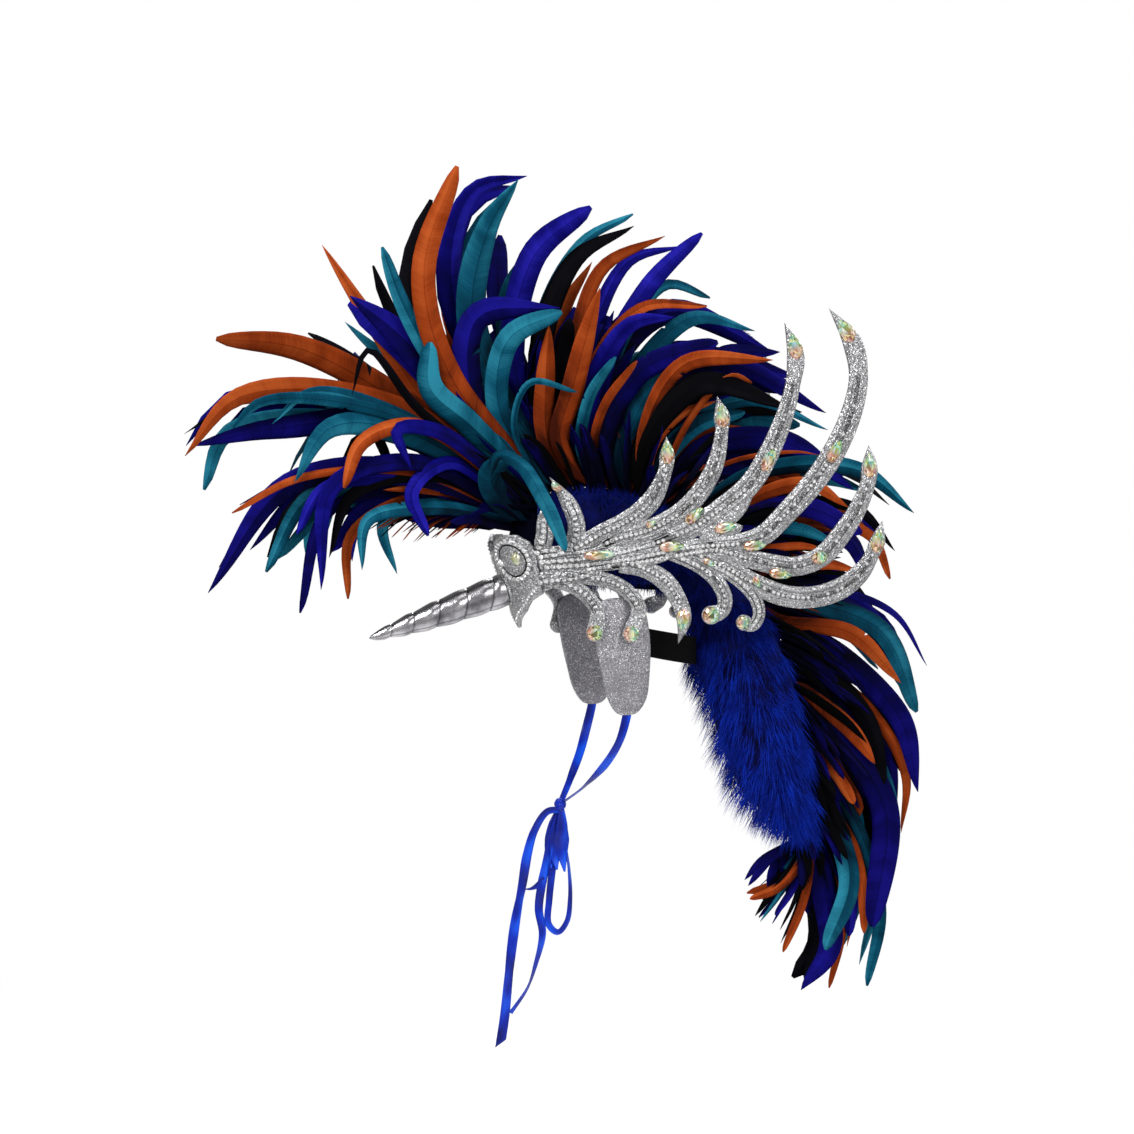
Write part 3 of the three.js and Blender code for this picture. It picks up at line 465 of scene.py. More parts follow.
def dark_foam():
    finish, tree, shader = new_finish("dark_foam", srgb(3, 3, 20), 0.95, 0.0, Specular_IOR_Level=0.05)
    place = object_place(tree)
    pores = node(tree, "ShaderNodeTexVoronoi", {"Vector": place, "Scale": 1200.0})
    tree.links.new(bump_from(tree, pores.outputs["Distance"], 0.4, 0.0004), shader.inputs["Normal"])
    return finish


# The core is the same down in darker colours: painted shade inside the roll, under the hairs.
down_core = blue_down("down_core", srgb(0, 1, 30), srgb(2, 12, 100))
down_hair = blue_down("down_hair", srgb(1, 8, 92), srgb(10, 52, 196))
fin_foam = dark_foam()
print("down and foam:", down_core.name, down_hair.name, fin_foam.name)

# %% [markdown]
# ## Feathers' dye
# A vane is a comb of barbs that leave the shaft at a slant. The mesh stores where each point lies along
# its barb, and a stretched noise on that gives the fine streaks and a very light bump. Toward the root
# the colour is darkened and dulled as painted shade, and each feather's tone differs a little, partly
# at random and partly as painted light and shade.

# %% Feather materials
DYES = {
    # darkest, middle, lightest: streaks pick among them, and painted shade pulls toward the darkest
    "navy": (srgb(0, 0, 14), srgb(4, 2, 68), srgb(18, 14, 118)),
    # blue is partly the dye of blue feathers, partly painted light for the lit undersides of navy ones
    "blue": (srgb(1, 0, 30), srgb(6, 4, 92), srgb(30, 26, 148)),
    "teal": (srgb(0, 20, 34), srgb(3, 64, 86), srgb(36, 118, 140)),
    "orange": (srgb(54, 15, 4), srgb(130, 49, 13), srgb(172, 80, 34)),
    "black": (srgb(0, 0, 1), srgb(1, 1, 4), srgb(8, 8, 15)),
}


def feather_dye(name, dark, middle, light):
    finish, tree, shader = new_finish(f"feather_{name}", light, 0.68, 0.0, Specular_IOR_Level=0.035)
    barb = stored(tree, "barb", "Vector")
    luck = stored(tree, "tone")
    streaks = node(tree, "ShaderNodeMapping", {"Vector": barb, "Scale": (1700.0, 40.0, 2.0)}).outputs[0]
    fine = node(tree, "ShaderNodeTexNoise", {"Vector": streaks, "Scale": 1.0, "Detail": 3.0, "Roughness": 0.6})
    wide = node(tree, "ShaderNodeMapping", {"Vector": barb, "Scale": (45.0, 14.0, 2.0)}).outputs[0]
    broad = node(tree, "ShaderNodeTexNoise", {"Vector": wide, "Scale": 1.0, "Detail": 2.0})
    share = node(tree, "ShaderNodeSeparateXYZ", {"Vector": barb}).outputs["Z"]
    # Painted shade: darker toward the root, where the feathers crowd together.
    root_shade = node(tree, "ShaderNodeMapRange", {
        "Value": share, "From Min": 0.05, "From Max": 0.75, "To Min": -0.45, "To Max": 0.1,
    }).outputs[0]
    total = combined(tree, "MULTIPLY", fine.outputs["Fac"], 0.45)
    for other in (combined(tree, "MULTIPLY", broad.outputs["Fac"], 0.55), root_shade, luck):
        total = combined(tree, "ADD", total, other)
    tree.links.new(ramp(tree, total, [(0.12, dark), (0.5, middle), (0.9, light)]), shader.inputs["Base Color"])
    tree.links.new(bump_from(tree, fine.outputs["Fac"], 0.22, 0.0005), shader.inputs["Normal"])
    return finish


feather_finishes = {name: feather_dye(name, *colours) for name, colours in DYES.items()}
print("feather dyes:", ", ".join(feather_finishes))

# %% [markdown]
# ## Helpers for shapes
# Nearly everything here is a strip that follows a path: foam, ribbon, elastic, horn and feather alike.
# A grid operator makes the quads, and a place function says where each corner goes. Closed strips are
# welded along their seam and capped at their ends.

# %% Shape helpers
WELD = 0.004
CURVE_STEPS = 24


def smooth_path(points, samples):
    """Evenly spaced points on a rounded curve through all the given ones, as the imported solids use."""
    points = np.asarray(points, float)
    stops = [2 * points[0] - points[1], *points, 2 * points[-1] - points[-2]]
    dense = []
    for before, start, end, after in zip(stops, stops[1:], stops[2:], stops[3:]):
        pairs = (before, start), (start, end), (end, after)
        steps = [max(1e-6, np.linalg.norm(b - a)) ** 0.5 for a, b in pairs]
        k0, k1, k2, k3 = np.cumsum([0, *steps])
        t = np.linspace(k1, k2, CURVE_STEPS, endpoint=False)[:, None]
        a1 = before + (start - before) * (t - k0) / (k1 - k0)
        a2 = start + (end - start) * (t - k1) / (k2 - k1)
        a3 = end + (after - end) * (t - k2) / (k3 - k2)
        b1 = a1 + (a2 - a1) * (t - k0) / (k2 - k0)
        b2 = a2 + (a3 - a2) * (t - k1) / (k3 - k1)
        dense.append(b1 + (b2 - b1) * (t - k1) / (k2 - k1))
    dense.append(points[-1:])
    dense = np.vstack(dense)
    lengths = np.concatenate([[0], np.cumsum(np.linalg.norm(np.diff(dense, axis=0), axis=1))])
    even = np.linspace(0, lengths[-1], samples + 1)
    return np.column_stack([np.interp(even, lengths, column) for column in dense.T])


def unit(vectors):
    return vectors / np.maximum(1e-9, np.linalg.norm(vectors, axis=-1, keepdims=True))


def shaped_grid(bm, rows, columns, place):
    """Adds a sheet of quads and lays each corner at place(along, across), two shares from 0 to 1.
    A fourth value, where place gives one, is stored as the groove value, from which materials paint shade."""
    corners = bmesh.ops.create_grid(bm, x_segments=rows, y_segments=columns, size=0.5)["verts"]
    shares = np.array([corner.co for corner in corners]) + 0.5
    points = place(shares[:, 0], shares[:, 1])
    groove = bm.verts.layers.float.get("groove")
    for corner, point in zip(corners, points):
        corner.co = point[:3]
        if len(point) > 3:
            corner[groove] = point[3]
    return corners


def closed_strip(bm, rows, around, place):
    """A strip whose two long sides meet, welded and capped."""
    corners = shaped_grid(bm, rows, around, place)
    bmesh.ops.remove_doubles(bm, verts=corners, dist=WELD)
    open_edges = [edge for edge in bm.edges if edge.is_boundary]
    if open_edges:
        bmesh.ops.holes_fill(bm, edges=open_edges, sides=0)


def new_bmesh():
    bm = bmesh.new()
    bm.verts.layers.float.new("groove")
    return bm


def crease(bm, degrees):
    """Keeps edges sharp where two faces meet at more than the given angle."""
    limit = math.radians(degrees)
    for edge in bm.edges:
        if len(edge.link_faces) == 2:
            edge.smooth = edge.calc_face_angle(0) < limit


def show(name, mesh, finishes, replaced=()):
    """Makes a piece of a mesh that is already in metres: its finishes, its body, and hides the parts it stands
    for.
    """
    for finish in finishes:
        mesh.materials.append(finish)
    piece = bpy.data.objects.new(name, mesh)
    bpy.context.scene.collection.objects.link(piece)
    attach(piece, "root")
    if replaced:
        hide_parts(*replaced)
    print(f"{name}: {len(mesh.polygons)} faces")
    return piece


def from_bmesh(name, bm, finishes, replaced=(), smooth=True, mirror=False):
    """Finishes a bmesh that was drawn in millimetres."""
    factor = (-MM if mirror else MM, MM, MM)
    bmesh.ops.scale(bm, vec=factor, verts=bm.verts)
    bmesh.ops.recalc_face_normals(bm, faces=bm.faces)
    mesh = bpy.data.meshes.new(name)
    bm.to_mesh(mesh)
    bm.free()
    mesh.polygons.foreach_set("use_smooth", [smooth] * len(mesh.polygons))
    return show(name, mesh, finishes, replaced)


def template_of(bm):
    """Corner places and faces of a small shape that is repeated many times."""
    bm.verts.index_update()
    places = np.array([vert.co for vert in bm.verts])
    faces = [[vert.index for vert in face.verts] for face in bm.faces]
    bm.free()
    return places, faces


def joined_mesh(name, parts, smooth):
    """One mesh of many (corner places in millimetres, faces, material number, values by name)."""
    places = np.vstack([part[0] for part in parts]) * MM
    starts = np.cumsum([0] + [len(part[0]) for part in parts])
    faces = [[i + start for i in face] for part, start in zip(parts, starts) for face in part[1]]
    mesh = bpy.data.meshes.new(name)
    mesh.from_pydata(places, [], faces)
    finishes = np.concatenate([np.full(len(part[1]), part[2]) for part in parts])
    mesh.polygons.foreach_set("material_index", finishes.astype(np.int32))
    mesh.polygons.foreach_set("use_smooth", [smooth] * len(mesh.polygons))
    for key in parts[0][3]:
        columns = [np.asarray(part[3][key], np.float32).reshape(len(part[0]), -1) for part in parts]
        values = np.concatenate(columns)
        kind, field = ("FLOAT", "value") if values.shape[1] == 1 else ("FLOAT_VECTOR", "vector")
        mesh.attributes.new(key, kind, "POINT").data.foreach_set(field, values.ravel())
    return mesh


# %% [markdown]
# ## The flat pattern
# Shield and wings are cut from one flat foam sheet and bent round the brow: u runs along the brow, v
# upward and w out from the inner face. Drawing them flat and bending last is how the real ones are
# made, and it keeps every stone square on the foam.

# %% Bend the pattern round the head
FOAM = 5
BROW_HALF_WIDTH = 85
BROW_HALF_LENGTH = 99
WRAP_ANGLE = math.radians(71)
FLARE_ANGLE = math.radians(15)
SHIELD_LEAN = 0.34
SHIELD_FOOT = 15
SEAM = 57

arc_angles = np.linspace(0, WRAP_ANGLE, 300)
arc_steps = np.hypot(
    BROW_HALF_WIDTH * np.diff(np.sin(arc_angles)), BROW_HALF_LENGTH * np.diff(np.cos(arc_angles)),
)
arc_lengths = np.concatenate([[0], np.cumsum(arc_steps)])
WRAP_LENGTH = arc_lengths[-1]


def on_headdress(u, v, w):
    u, v, w = (np.asarray(value, float) for value in (u, v, w))
    side = np.where(u < 0, -1.0, 1.0)
    run = np.abs(u)
    angle = np.interp(run, arc_lengths, arc_angles)
    past = np.maximum(0, run - WRAP_LENGTH)
    along_x = np.where(past > 0, math.sin(FLARE_ANGLE), BROW_HALF_WIDTH * np.cos(angle))
    along_y = np.where(past > 0, math.cos(FLARE_ANGLE), BROW_HALF_LENGTH * np.sin(angle))
    length = np.hypot(along_x, along_y)
    along_x, along_y = along_x / length, along_y / length
    out = w - FOAM
    x = BROW_HALF_WIDTH * np.sin(angle) + past * along_x + out * along_y
    y = -BROW_HALF_LENGTH * np.cos(angle) + past * along_y - out * along_x
    hold = np.cos(np.minimum(1, run / WRAP_LENGTH) * math.pi / 2) ** 2
    return np.column_stack([side * x, y - SHIELD_LEAN * (v - SHIELD_FOOT) * hold, v])


# %% [markdown]
# ## Wings
# Each wing is a spray of tapering strips. The outer margin is plain glitter, two grooves run
# along the middle, darkened with painted shade, and the stones sit between them. Near the brow the rows
# crowd together over the stem, with lines of painted shade between.

# %% Wing foam
BRANCHES = {
    # u, v and half width at each station; the last station is the tip
    "stem": [(58, 88, 16), (82, 92, 14), (114, 92, 14), (158, 98, 13), (201, 104, 10), (242, 103, 8),
             (262, 101, 0)],
    "browEdge": [(58, 66, 9), (66, 68, 8), (87, 70, 8), (103, 74, 6), (118, 82, 4)],
    "curlFront": [(59, 98, 8), (65, 112, 7), (68, 133, 6), (71, 160, 0)],
    "curlBack": [(80, 98, 8), (91, 112, 8), (93, 128, 7.5), (87, 151, 6.5), (74, 179, 0)],
    "one": [(84, 100, 8), (116, 118, 10), (148, 134, 11), (171, 155, 10.5), (185, 186, 7.5), (187, 203, 8),
            (186, 222, 0)],
    "two": [(130, 112, 9), (169, 123, 11), (201, 141, 10.5), (225, 167, 10), (239, 195, 9), (245, 229, 7),
            (245, 243, 8.5), (240, 265, 0)],
    "three": [(190, 114, 9), (215, 125, 10.5), (245, 146, 11), (274, 170, 11.5), (294, 202, 11), (311, 242, 9.5),
              (320, 276, 8), (323, 309, 9), (311, 343, 0)],
    "four": [(236, 106, 9), (262, 108, 10.5), (289, 117, 11), (314, 141, 11.5), (340, 170, 12), (364, 205, 12),
             (383, 248, 11), (390, 286, 10), (383, 322, 10), (358, 358, 0)],
    "five": [(240, 101, 9), (268, 94, 10), (296, 87, 10.5), (325, 84, 10.5), (352, 95, 11), (373, 119, 10.5),
             (389, 144, 9.5), (400, 171, 8), (402, 190, 8.5), (401, 213, 0)],
    "six": [(200, 100, 9), (243, 86, 10), (283, 64, 11), (311, 53, 11.5), (340, 51, 11.5), (369, 59, 11.5),
            (392, 76, 10), (405, 96, 7.5), (411, 111, 8), (416, 133, 0)],
    "drop": [(137, 86, 9), (164, 81, 9.5), (186, 67, 10), (200, 46, 9), (205, 27, 8), (199, 1, 0)],
}
CURLS = {
    # u, v and half width at each station; the last station is the centre of a round end
    "earFront": [(70, 68, 8), (87, 63, 8), (103, 51, 8), (113, 35, 8), (110, 13, 9.5)],
    "earBack": [(75, 76, 8), (103, 72, 8), (126, 68, 8), (145, 57, 8), (157, 40, 8), (149, 12, 9.5)],
    "scrollFront": [(185, 100, 7), (215, 87, 7), (231, 77, 7.5), (243, 64, 8), (249, 48, 8), (246, 37, 8),
                    (234, 32, 10)],
    "scrollBack": [(222, 92, 7), (252, 76, 6.5), (270, 63, 7), (282, 48, 7), (285, 32, 6.5), (279, 21, 6.5),
                   (269, 24, 8.5)],
}
FORK_FOAM = [
    # what fills the corner between the third and the fourth branch, under its cut stone
    [(222, 112, 7), (238, 116, 10), (252, 121, 9), (263, 125, 5), (268, 127, 0)],
    [(222, 119, 8), (240, 129, 10), (256, 140, 10), (268, 151, 7), (280, 163, 0)],
]
EDGE_ROUND = 1.5
CROWN = 0.5
STATION_STEP = 2.5
BRANCH_LIFT = 0.07
CURL_LIFT = 0.04
SEAM_GAP = 0.3
ROUND_STEPS = 28


def foam_section(half):
    """Half of a foam strip's outline, from the middle of the back to the middle of the front."""
    thick = FOAM * min(1, half / 4.5)
    low = (FOAM - thick) / 2
    high = low + thick
    edge = min(EDGE_ROUND, half * 0.4)
    return [
        (0, low), (half - edge / 2, low), (half, low + edge / 2), (half, high - edge),
        (half - edge * 0.3, high - edge * 0.3), (half - edge, high), (half * 0.45, high + CROWN * 0.8),
        (0, high + CROWN),
    ]


def whole_section(half_section):
    """Mirrors a half outline into a closed one, as columns: aside, height and any groove value."""
    right = [tuple(point) + (0,) * (3 - len(point)) for point in half_section]
    left = [(-aside, *rest) for aside, *rest in reversed(right[:-1])]
    return np.array(right + left)


def strip_rows(stations):
    points = np.asarray(stations, float)[:, :2]
    return max(4, round(np.linalg.norm(np.diff(points, axis=0), axis=1).sum() / STATION_STEP))


def pattern_strip(bm, stations, section, lift=0):
    """A strip of the flat pattern along its stations, bent round the head."""
    rows = strip_rows(stations)
    path = smooth_path(stations, rows)
    ahead = unit(np.gradient(path[:, :2], axis=0))
    outlines = np.array([whole_section(section(max(0.02, half))) for half in path[:, 2]])

    def place(along, across):
        i = np.rint(along * rows).astype(int)
        k = np.rint(across * (outlines.shape[1] - 1)).astype(int)
        aside, height, groove = outlines[i, k].T
        u = path[i, 0] - ahead[i, 1] * aside
        v = path[i, 1] + ahead[i, 0] * aside
        return np.column_stack([on_headdress(np.maximum(u, SEAM + SEAM_GAP), v, height + lift), groove])

    closed_strip(bm, rows, outlines.shape[1] - 1, place)


def round_end(bm, u, v, radius, section, lift=0):
    """The round foot of a curl: a domed disc of the same section as the strips."""
    outline = whole_section(section(radius))
    half = outline[: len(outline) // 2 + 1]

    def place(along, across):
        k = np.rint(across * (len(half) - 1)).astype(int)
        turn = along * 2 * math.pi
        aside, height, groove = half[k].T
        return np.column_stack([
            on_headdress(u + aside * np.cos(turn), v + aside * np.sin(turn), height + lift), groove,
        ])

    corners = shaped_grid(bm, ROUND_STEPS, len(half) - 1, place)
    bmesh.ops.remove_doubles(bm, verts=corners, dist=WELD)


def wing_foam():
    bm = new_bmesh()
    for order, (name, stations) in enumerate(BRANCHES.items()):
        pattern_strip(bm, stations, foam_section, lift=BRANCH_LIFT * order)
    for stations in CURLS.values():
        pattern_strip(bm, stations, foam_section)
        round_end(bm, *stations[-1], foam_section, lift=CURL_LIFT)
    for stations in FORK_FOAM:
        pattern_strip(bm, stations, foam_section)
    return bm


def two_sides(name, make, finishes, replaced=(), smooth=True):
    """The same piece on both sides of the head."""
    for side in ("left", "right"):
        nodes = [f"{side}_{node_name}" for node_name in replaced]
        from_bmesh(f"{side}_{name}", make(), finishes, nodes, smooth, mirror=side == "right")


two_sides("wing_foam", wing_foam, [wing_glitter], ["wing"])

# %% [markdown]
# ## Stone rows
# The raised middle of each strip is one domed band with a groove on either side of the stones. Over the
# stem each row has a narrow lead of its own, so that the rows fan out of the brow side by side.

# %% Bands, grooves and rows of stones
BAND_HEIGHT = 1.6
BAND_MARGIN = 3.2
CHANNEL = 3.3
GROOVE_HALF = 1.35
GROOVE_DEPTH = 1.5
GROOVE_FLOOR = 0.8
LEADS = {
    # where a row of stones comes from, before it reaches its own strip
    "one": [(62, 99), (72, 101)],
    "two": [(62, 93.5), (84, 97.5), (110, 102)],
    "three": [(62, 88), (90, 91), (125, 96), (160, 104)],
    "four": [(66, 82.5), (100, 85.5), (140, 90.5), (180, 98), (212, 104)],
    "five": [(150, 86.5), (180, 92), (212, 98)],
    "six": [(158, 84), (180, 90)],
    "drop": [(104, 81), (120, 83)],
}
LEAD_HALF = 2.6
STONE_PITCH = 5.3
STONE_RADIUS = 2.6


def band_section(half):
    """A domed band with a groove on each side of the stones; the fourth value paints shade: full in the grooves
    and at a narrow band's edges, part way under the stones.
    """
    base = FOAM - 0.4
    top = FOAM + CROWN * 0.8
    wide = half > 4
    channel = min(CHANNEL, half * 0.55)

    def height(aside):
        return top + BAND_HEIGHT * (1 - (aside / half) ** 4 * 0.9)

    if not wide:
        return [(0, base), (half, base), (half, top - 0.2, 1), (half * 0.82, top + 0.7, 0.9),
                (half * 0.6, top + BAND_HEIGHT * 0.75), (half * 0.3, top + BAND_HEIGHT * 0.85),
                (half * 0.15, top + BAND_HEIGHT * 0.85), (half * 0.05, top + BAND_HEIGHT * 0.85),
                (0, top + BAND_HEIGHT * 0.85)]
    inner, outer = channel - GROOVE_HALF, channel + GROOVE_HALF
    return [(0, base), (half, base), (half, top), (half * 0.92, height(half * 0.92)),
            (outer, height(outer), 0.3), (channel + GROOVE_FLOOR, height(channel) - GROOVE_DEPTH, 1),
            (channel - GROOVE_FLOOR, height(channel) - GROOVE_DEPTH, 1),
            (inner, height(inner) - 0.3, 0.58), (0, height(0) - 0.3, 0.58)]


def row_stations(name):
    """The stations of a row of stones: its lead, then its own strip short of the tip."""
    if name in CURLS:
        return [(u, v, max(LEAD_HALF, half - BAND_MARGIN)) for u, v, half in CURLS[name][:-1]]
    cut_back = 1 if name in ("stem", "browEdge", "curlFront", "curlBack") else 2
    own = BRANCHES[name][:-cut_back]
    lead = [(u, v, LEAD_HALF) for u, v in LEADS.get(name, [])]
    return lead + [(u, v, max(LEAD_HALF, half - BAND_MARGIN)) for u, v, half in own]


def stone_bands():
    bm = new_bmesh()
    for name in [*BRANCHES, *CURLS]:
        if name != "stem":
            pattern_strip(bm, row_stations(name), band_section)
    return bm


two_sides("stone_bands", stone_bands, [wing_glitter], ["rhinestones"])

# %% [markdown]
# ## Small stones
# A flat-back stone is a low cone with its top cut off. Its table is turned by half a step against its
# girdle, which gives sixteen triangular facets. Hundreds of them are one mesh: the script lays copies
# of one small shape on the flat pattern and bends them all at once.

# %% Lay the small stones


def faceted_stone():
    bm = bmesh.new()
    bmesh.ops.create_cone(bm, cap_ends=True, segments=8, radius1=1, radius2=0.56, depth=0.7)
    upper = [vert for vert in bm.verts if vert.co.z > 0]
    turn = math.pi / 8
    for vert in upper:
        x, y = vert.co.x, vert.co.y
        vert.co.x = x * math.cos(turn) - y * math.sin(turn)
        vert.co.y = x * math.sin(turn) + y * math.cos(turn)
    bmesh.ops.triangulate(bm, faces=[face for face in bm.faces if len(face.verts) == 4])
    bmesh.ops.translate(bm, vec=(0, 0, 0.35), verts=bm.verts)
    return template_of(bm)


STONE = faceted_stone()


def stones_along(points, pitch, radius, height, taken, darkness=lambda share: 0, seed=1):
    """Stones at an even pitch on a line of the pattern, where none lies yet."""
    luck = random.Random(seed)
    path = smooth_path(points, 400)
    lengths = np.concatenate([[0], np.cumsum(np.linalg.norm(np.diff(path[:, :2], axis=0), axis=1))])
    count = max(1, int(lengths[-1] / pitch))
    parts = []
    for i in range(count + 1):
        at = lengths[-1] * i / count
        u, v = (np.interp(at, lengths, path[:, k]) for k in (0, 1))
        if any(math.hypot(u - a, v - b) < gap for a, b, gap in taken):
            continue
        taken.append((u, v, pitch * 0.8))
        share = i / count
        size = radius * (1 - 0.22 * share) * luck.uniform(0.94, 1.06)
        spin = luck.uniform(0, math.pi)
        places, faces = STONE
        flat = np.column_stack([
            u + size * (places[:, 0] * math.cos(spin) - places[:, 1] * math.sin(spin)),
            v + size * (places[:, 0] * math.sin(spin) + places[:, 1] * math.cos(spin)),
            height + size * places[:, 2],
        ])
        parts.append((flat, faces, int(luck.random() < darkness(share)), {}))
    return parts


CRYSTALS = [
    # name, centre u and v, length, width, direction of the long axis in degrees, shape, seat
    ("tip_one", 187, 205, 26, 15, 92, "flame", "foam"),
    ("tip_two", 245, 244, 26, 15, 98, "flame", "foam"),
    ("tip_three", 322, 317, 28, 16, 104, "flame", "foam"),
    ("tip_four", 376, 334, 28, 17, 122, "flame", "foam"),
    ("tip_five", 402, 191, 26, 15, 92, "flame", "foam"),
    ("tip_six", 411, 111, 26, 15, 78, "flame", "foam"),
    ("tip_drop", 204, 27, 24, 15, 262, "flame", "foam"),
    ("fork_root", 116, 96, 33, 11, 4, "drop", "band"),
    ("fork_one", 192, 105, 26, 12, 2, "drop", "band"),
    ("fork_two", 216, 138, 24, 12, 42, "drop", "band"),
    ("fork_three", 249, 125, 24, 12, 12, "drop", "foam"),
    ("fork_four", 280, 106, 24, 12, 4, "drop", "band"),
    ("fork_five", 307, 76, 24, 12, 350, "drop", "band"),
    ("fork_six", 349, 93, 17, 14, 20, "round", "band"),
    ("round_ear_front", 110, 13, 17, 17, 0, "round", "foam"),
    ("round_ear_back", 149, 12, 17, 17, 0, "round", "foam"),
    ("round_scroll_front", 234, 32, 18, 18, 0, "round", "foam"),
    ("round_scroll_back", 268, 24, 14, 14, 0, "round", "foam"),
]
SMALL_CRYSTALS = [
    # no sub-part of their own: along the long strips, by the stem and near a curl's tip
    ("strip_three", 294.9, 197, 26, 13, 62, "drop", "band"),
    ("strip_four", 364.9, 206, 26, 13, 62, "drop", "band"),
    ("curl_back", 79, 169, 12, 7, 110, "flame", "band"),
    ("stem_top", 169.8, 129.1, 12, 8, 30, "drop", "band"),
    ("under_one", 231.5, 88.1, 14, 8, 330, "drop", "band"),
    ("under_two", 282.5, 66.9, 13, 8, 300, "drop", "band"),
]


STEM_ROWS = [
    # short rows that fill the brow end of the stem, as u and v
    [(60, 100), (66, 96), (70, 84)], [(60, 76), (84, 78), (104, 80)], [(74, 96), (84, 106), (92, 112)],
]


def bent_parts(parts):
    """Bends flat parts of stones round the head."""
    return [(on_headdress(*places.T), faces, finish, values) for places, faces, finish, values in parts]


def mirrored_parts(parts):
    """The same parts on the other side, with their faces turned round to point outward again."""
    return [(places * (-1, 1, 1), [face[::-1] for face in faces], finish, values)
            for places, faces, finish, values in parts]


def wing_small_stones():
    top = FOAM + CROWN * 0.8 + BAND_HEIGHT - 0.45
    taken = [(u, v, max(length, width) * 0.42) for _, u, v, length, width, *_ in CRYSTALS + SMALL_CRYSTALS]
    parts = []
    for name in [*BRANCHES, *CURLS]:
        if name == "stem":
            continue
        stations = row_stations(name)
        long_strip = name in ("one", "two", "three", "four", "five", "six")
        darkness = (lambda share: max(0, share * 1.5 - 0.62)) if long_strip else (lambda share: 0.08)
        row = stones_along(stations, STONE_PITCH, STONE_RADIUS, top, taken, darkness, seed=len(name))
        parts += row
    for points in STEM_ROWS:
        parts += stones_along(points, 4.4, 1.7, top - 0.9, taken)
    return bent_parts(parts)


left_stones = wing_small_stones()
for side, parts in (("left", left_stones), ("right", mirrored_parts(left_stones))):
    mesh = joined_mesh(f"{side}_small_stones", parts, False)
    show(f"{side}_small_stones", mesh, [clear_stone, dark_stone])


# %% [markdown]
# ## Large cut stones
# Each large stone is a short tube of four rings pushed into a flame, a drop or a round: foot, girdle,
# crown and table. The crown's corners sit between those of the girdle, so that the facets come out as
# triangles that tilt every way, as on cut glass.

# %% Cut the large stones
STONE_HEIGHT = 4.2
STONE_CORNERS = 14
STONE_RINGS = np.array([
    # turn in steps, scale, height as a share
    (0, 1.0, 0.0), (0, 1.0, 0.24), (0.5, 0.86, 0.62), (0, 0.56, 1.0),
])
stone_shapes = {
    "round": lambda s: np.sqrt(np.clip(1 - (2 * s - 1) ** 2, 0, 1)),
    "drop": lambda s: np.sqrt(np.clip(1 - (2 * s - 1) ** 2, 0, 1)) * (1.15 - 0.45 * s),
    "flame": lambda s: np.sin(math.pi * s ** 0.75) ** 0.9,
}


def cut_stone(shape):
    """A stone one unit long, wide and high, with its point at x = 0.5."""
    bm = new_bmesh()

    def place(along, across):
        step, scale, height = STONE_RINGS[np.rint(across * 3).astype(int)].T
        turn = 2 * math.pi * (along + step / STONE_CORNERS)
        share = np.clip((1 - np.cos(turn)) / 2, 0, 1)
        half = np.nan_to_num(stone_shapes[shape](share)) / 2
        return np.column_stack([(share - 0.5) * scale, np.copysign(half, np.sin(turn)) * scale, height])

    closed_strip(bm, STONE_CORNERS, 3, place)
    bmesh.ops.triangulate(bm, faces=[face for face in bm.faces if len(face.verts) == 4])
    bmesh.ops.recalc_face_normals(bm, faces=bm.faces)
    return template_of(bm)


UNIT_STONES = {shape: cut_stone(shape) for shape in stone_shapes}


def large_stones():
    parts = []
    for _, u, v, length, width, angle, shape, seat in CRYSTALS + SMALL_CRYSTALS:
        places, faces = UNIT_STONES[shape]
        base = FOAM + 0.1 + (BAND_HEIGHT if seat == "band" else 0)
        turn = math.radians(angle)
        along, across = places[:, 0] * length, places[:, 1] * width
        flat = np.column_stack([
            u + along * math.cos(turn) - across * math.sin(turn),
            v + along * math.sin(turn) + across * math.cos(turn),
            base + places[:, 2] * STONE_HEIGHT * min(1, width / 10),
        ])
        parts.append((flat, faces, 0, {"along": places[:, 0] + 0.5}))
    return bent_parts(parts)


left_cut = large_stones()
for side, parts in (("left", left_cut), ("right", mirrored_parts(left_cut))):
    stood_for = [f"{side}_{name}_crystal" for name, *_ in CRYSTALS]
    mesh = joined_mesh(f"{side}_cut_stones", parts, False)
    show(f"{side}_cut_stones", mesh, [crystal_glass], stood_for)

# %% [markdown]
# ## Brow shield
# Two round lobes over a point, from the same foam. The outline is one flat face, extruded and bevelled,
# then sliced every few millimetres, because a long flat face can't bend. Raised rims, stones and a seat
# for the horn lie on it.

# %% Brow shield
SHIELD_EDGE = [
    (0, 15), (14, 25), (30, 34), (42, 46), (57, 54), (57, 98), (52, 110), (42, 117), (28, 117), (14, 110),
    (6, 99), (0, 86),
]
LOBE_U, LOBE_V = 31, 89
LOBE_HALF_WIDTH, LOBE_HALF_HEIGHT = 22, 23
HORN_FOOT_HEIGHT = 57
BOSS_RADIUS = 19
BOSS_RISE = 0.8
SLICE = 5
RIM_INSET = 2.6


def plate_of(bm, outline, thickness, edge):
    """A flat plate of foam from an outline, with its upper and lower edges rounded."""
    corners = [bm.verts.new((u, v, 0)) for u, v in outline]
    face = bm.faces.new(corners)
    raised = bmesh.ops.extrude_face_region(bm, geom=[face])["geom"]
    lifted = [item for item in raised if isinstance(item, bmesh.types.BMVert)]
    bmesh.ops.translate(bm, vec=(0, 0, thickness), verts=lifted)
    bmesh.ops.recalc_face_normals(bm, faces=bm.faces)
    rims = [e for e in bm.edges if abs(e.verts[0].co.z - e.verts[1].co.z) < 0.01]
    bmesh.ops.bevel(
        bm, geom=rims, offset=edge, segments=3, profile=0.5, affect="EDGES", material=-1, clamp_overlap=True,
    )


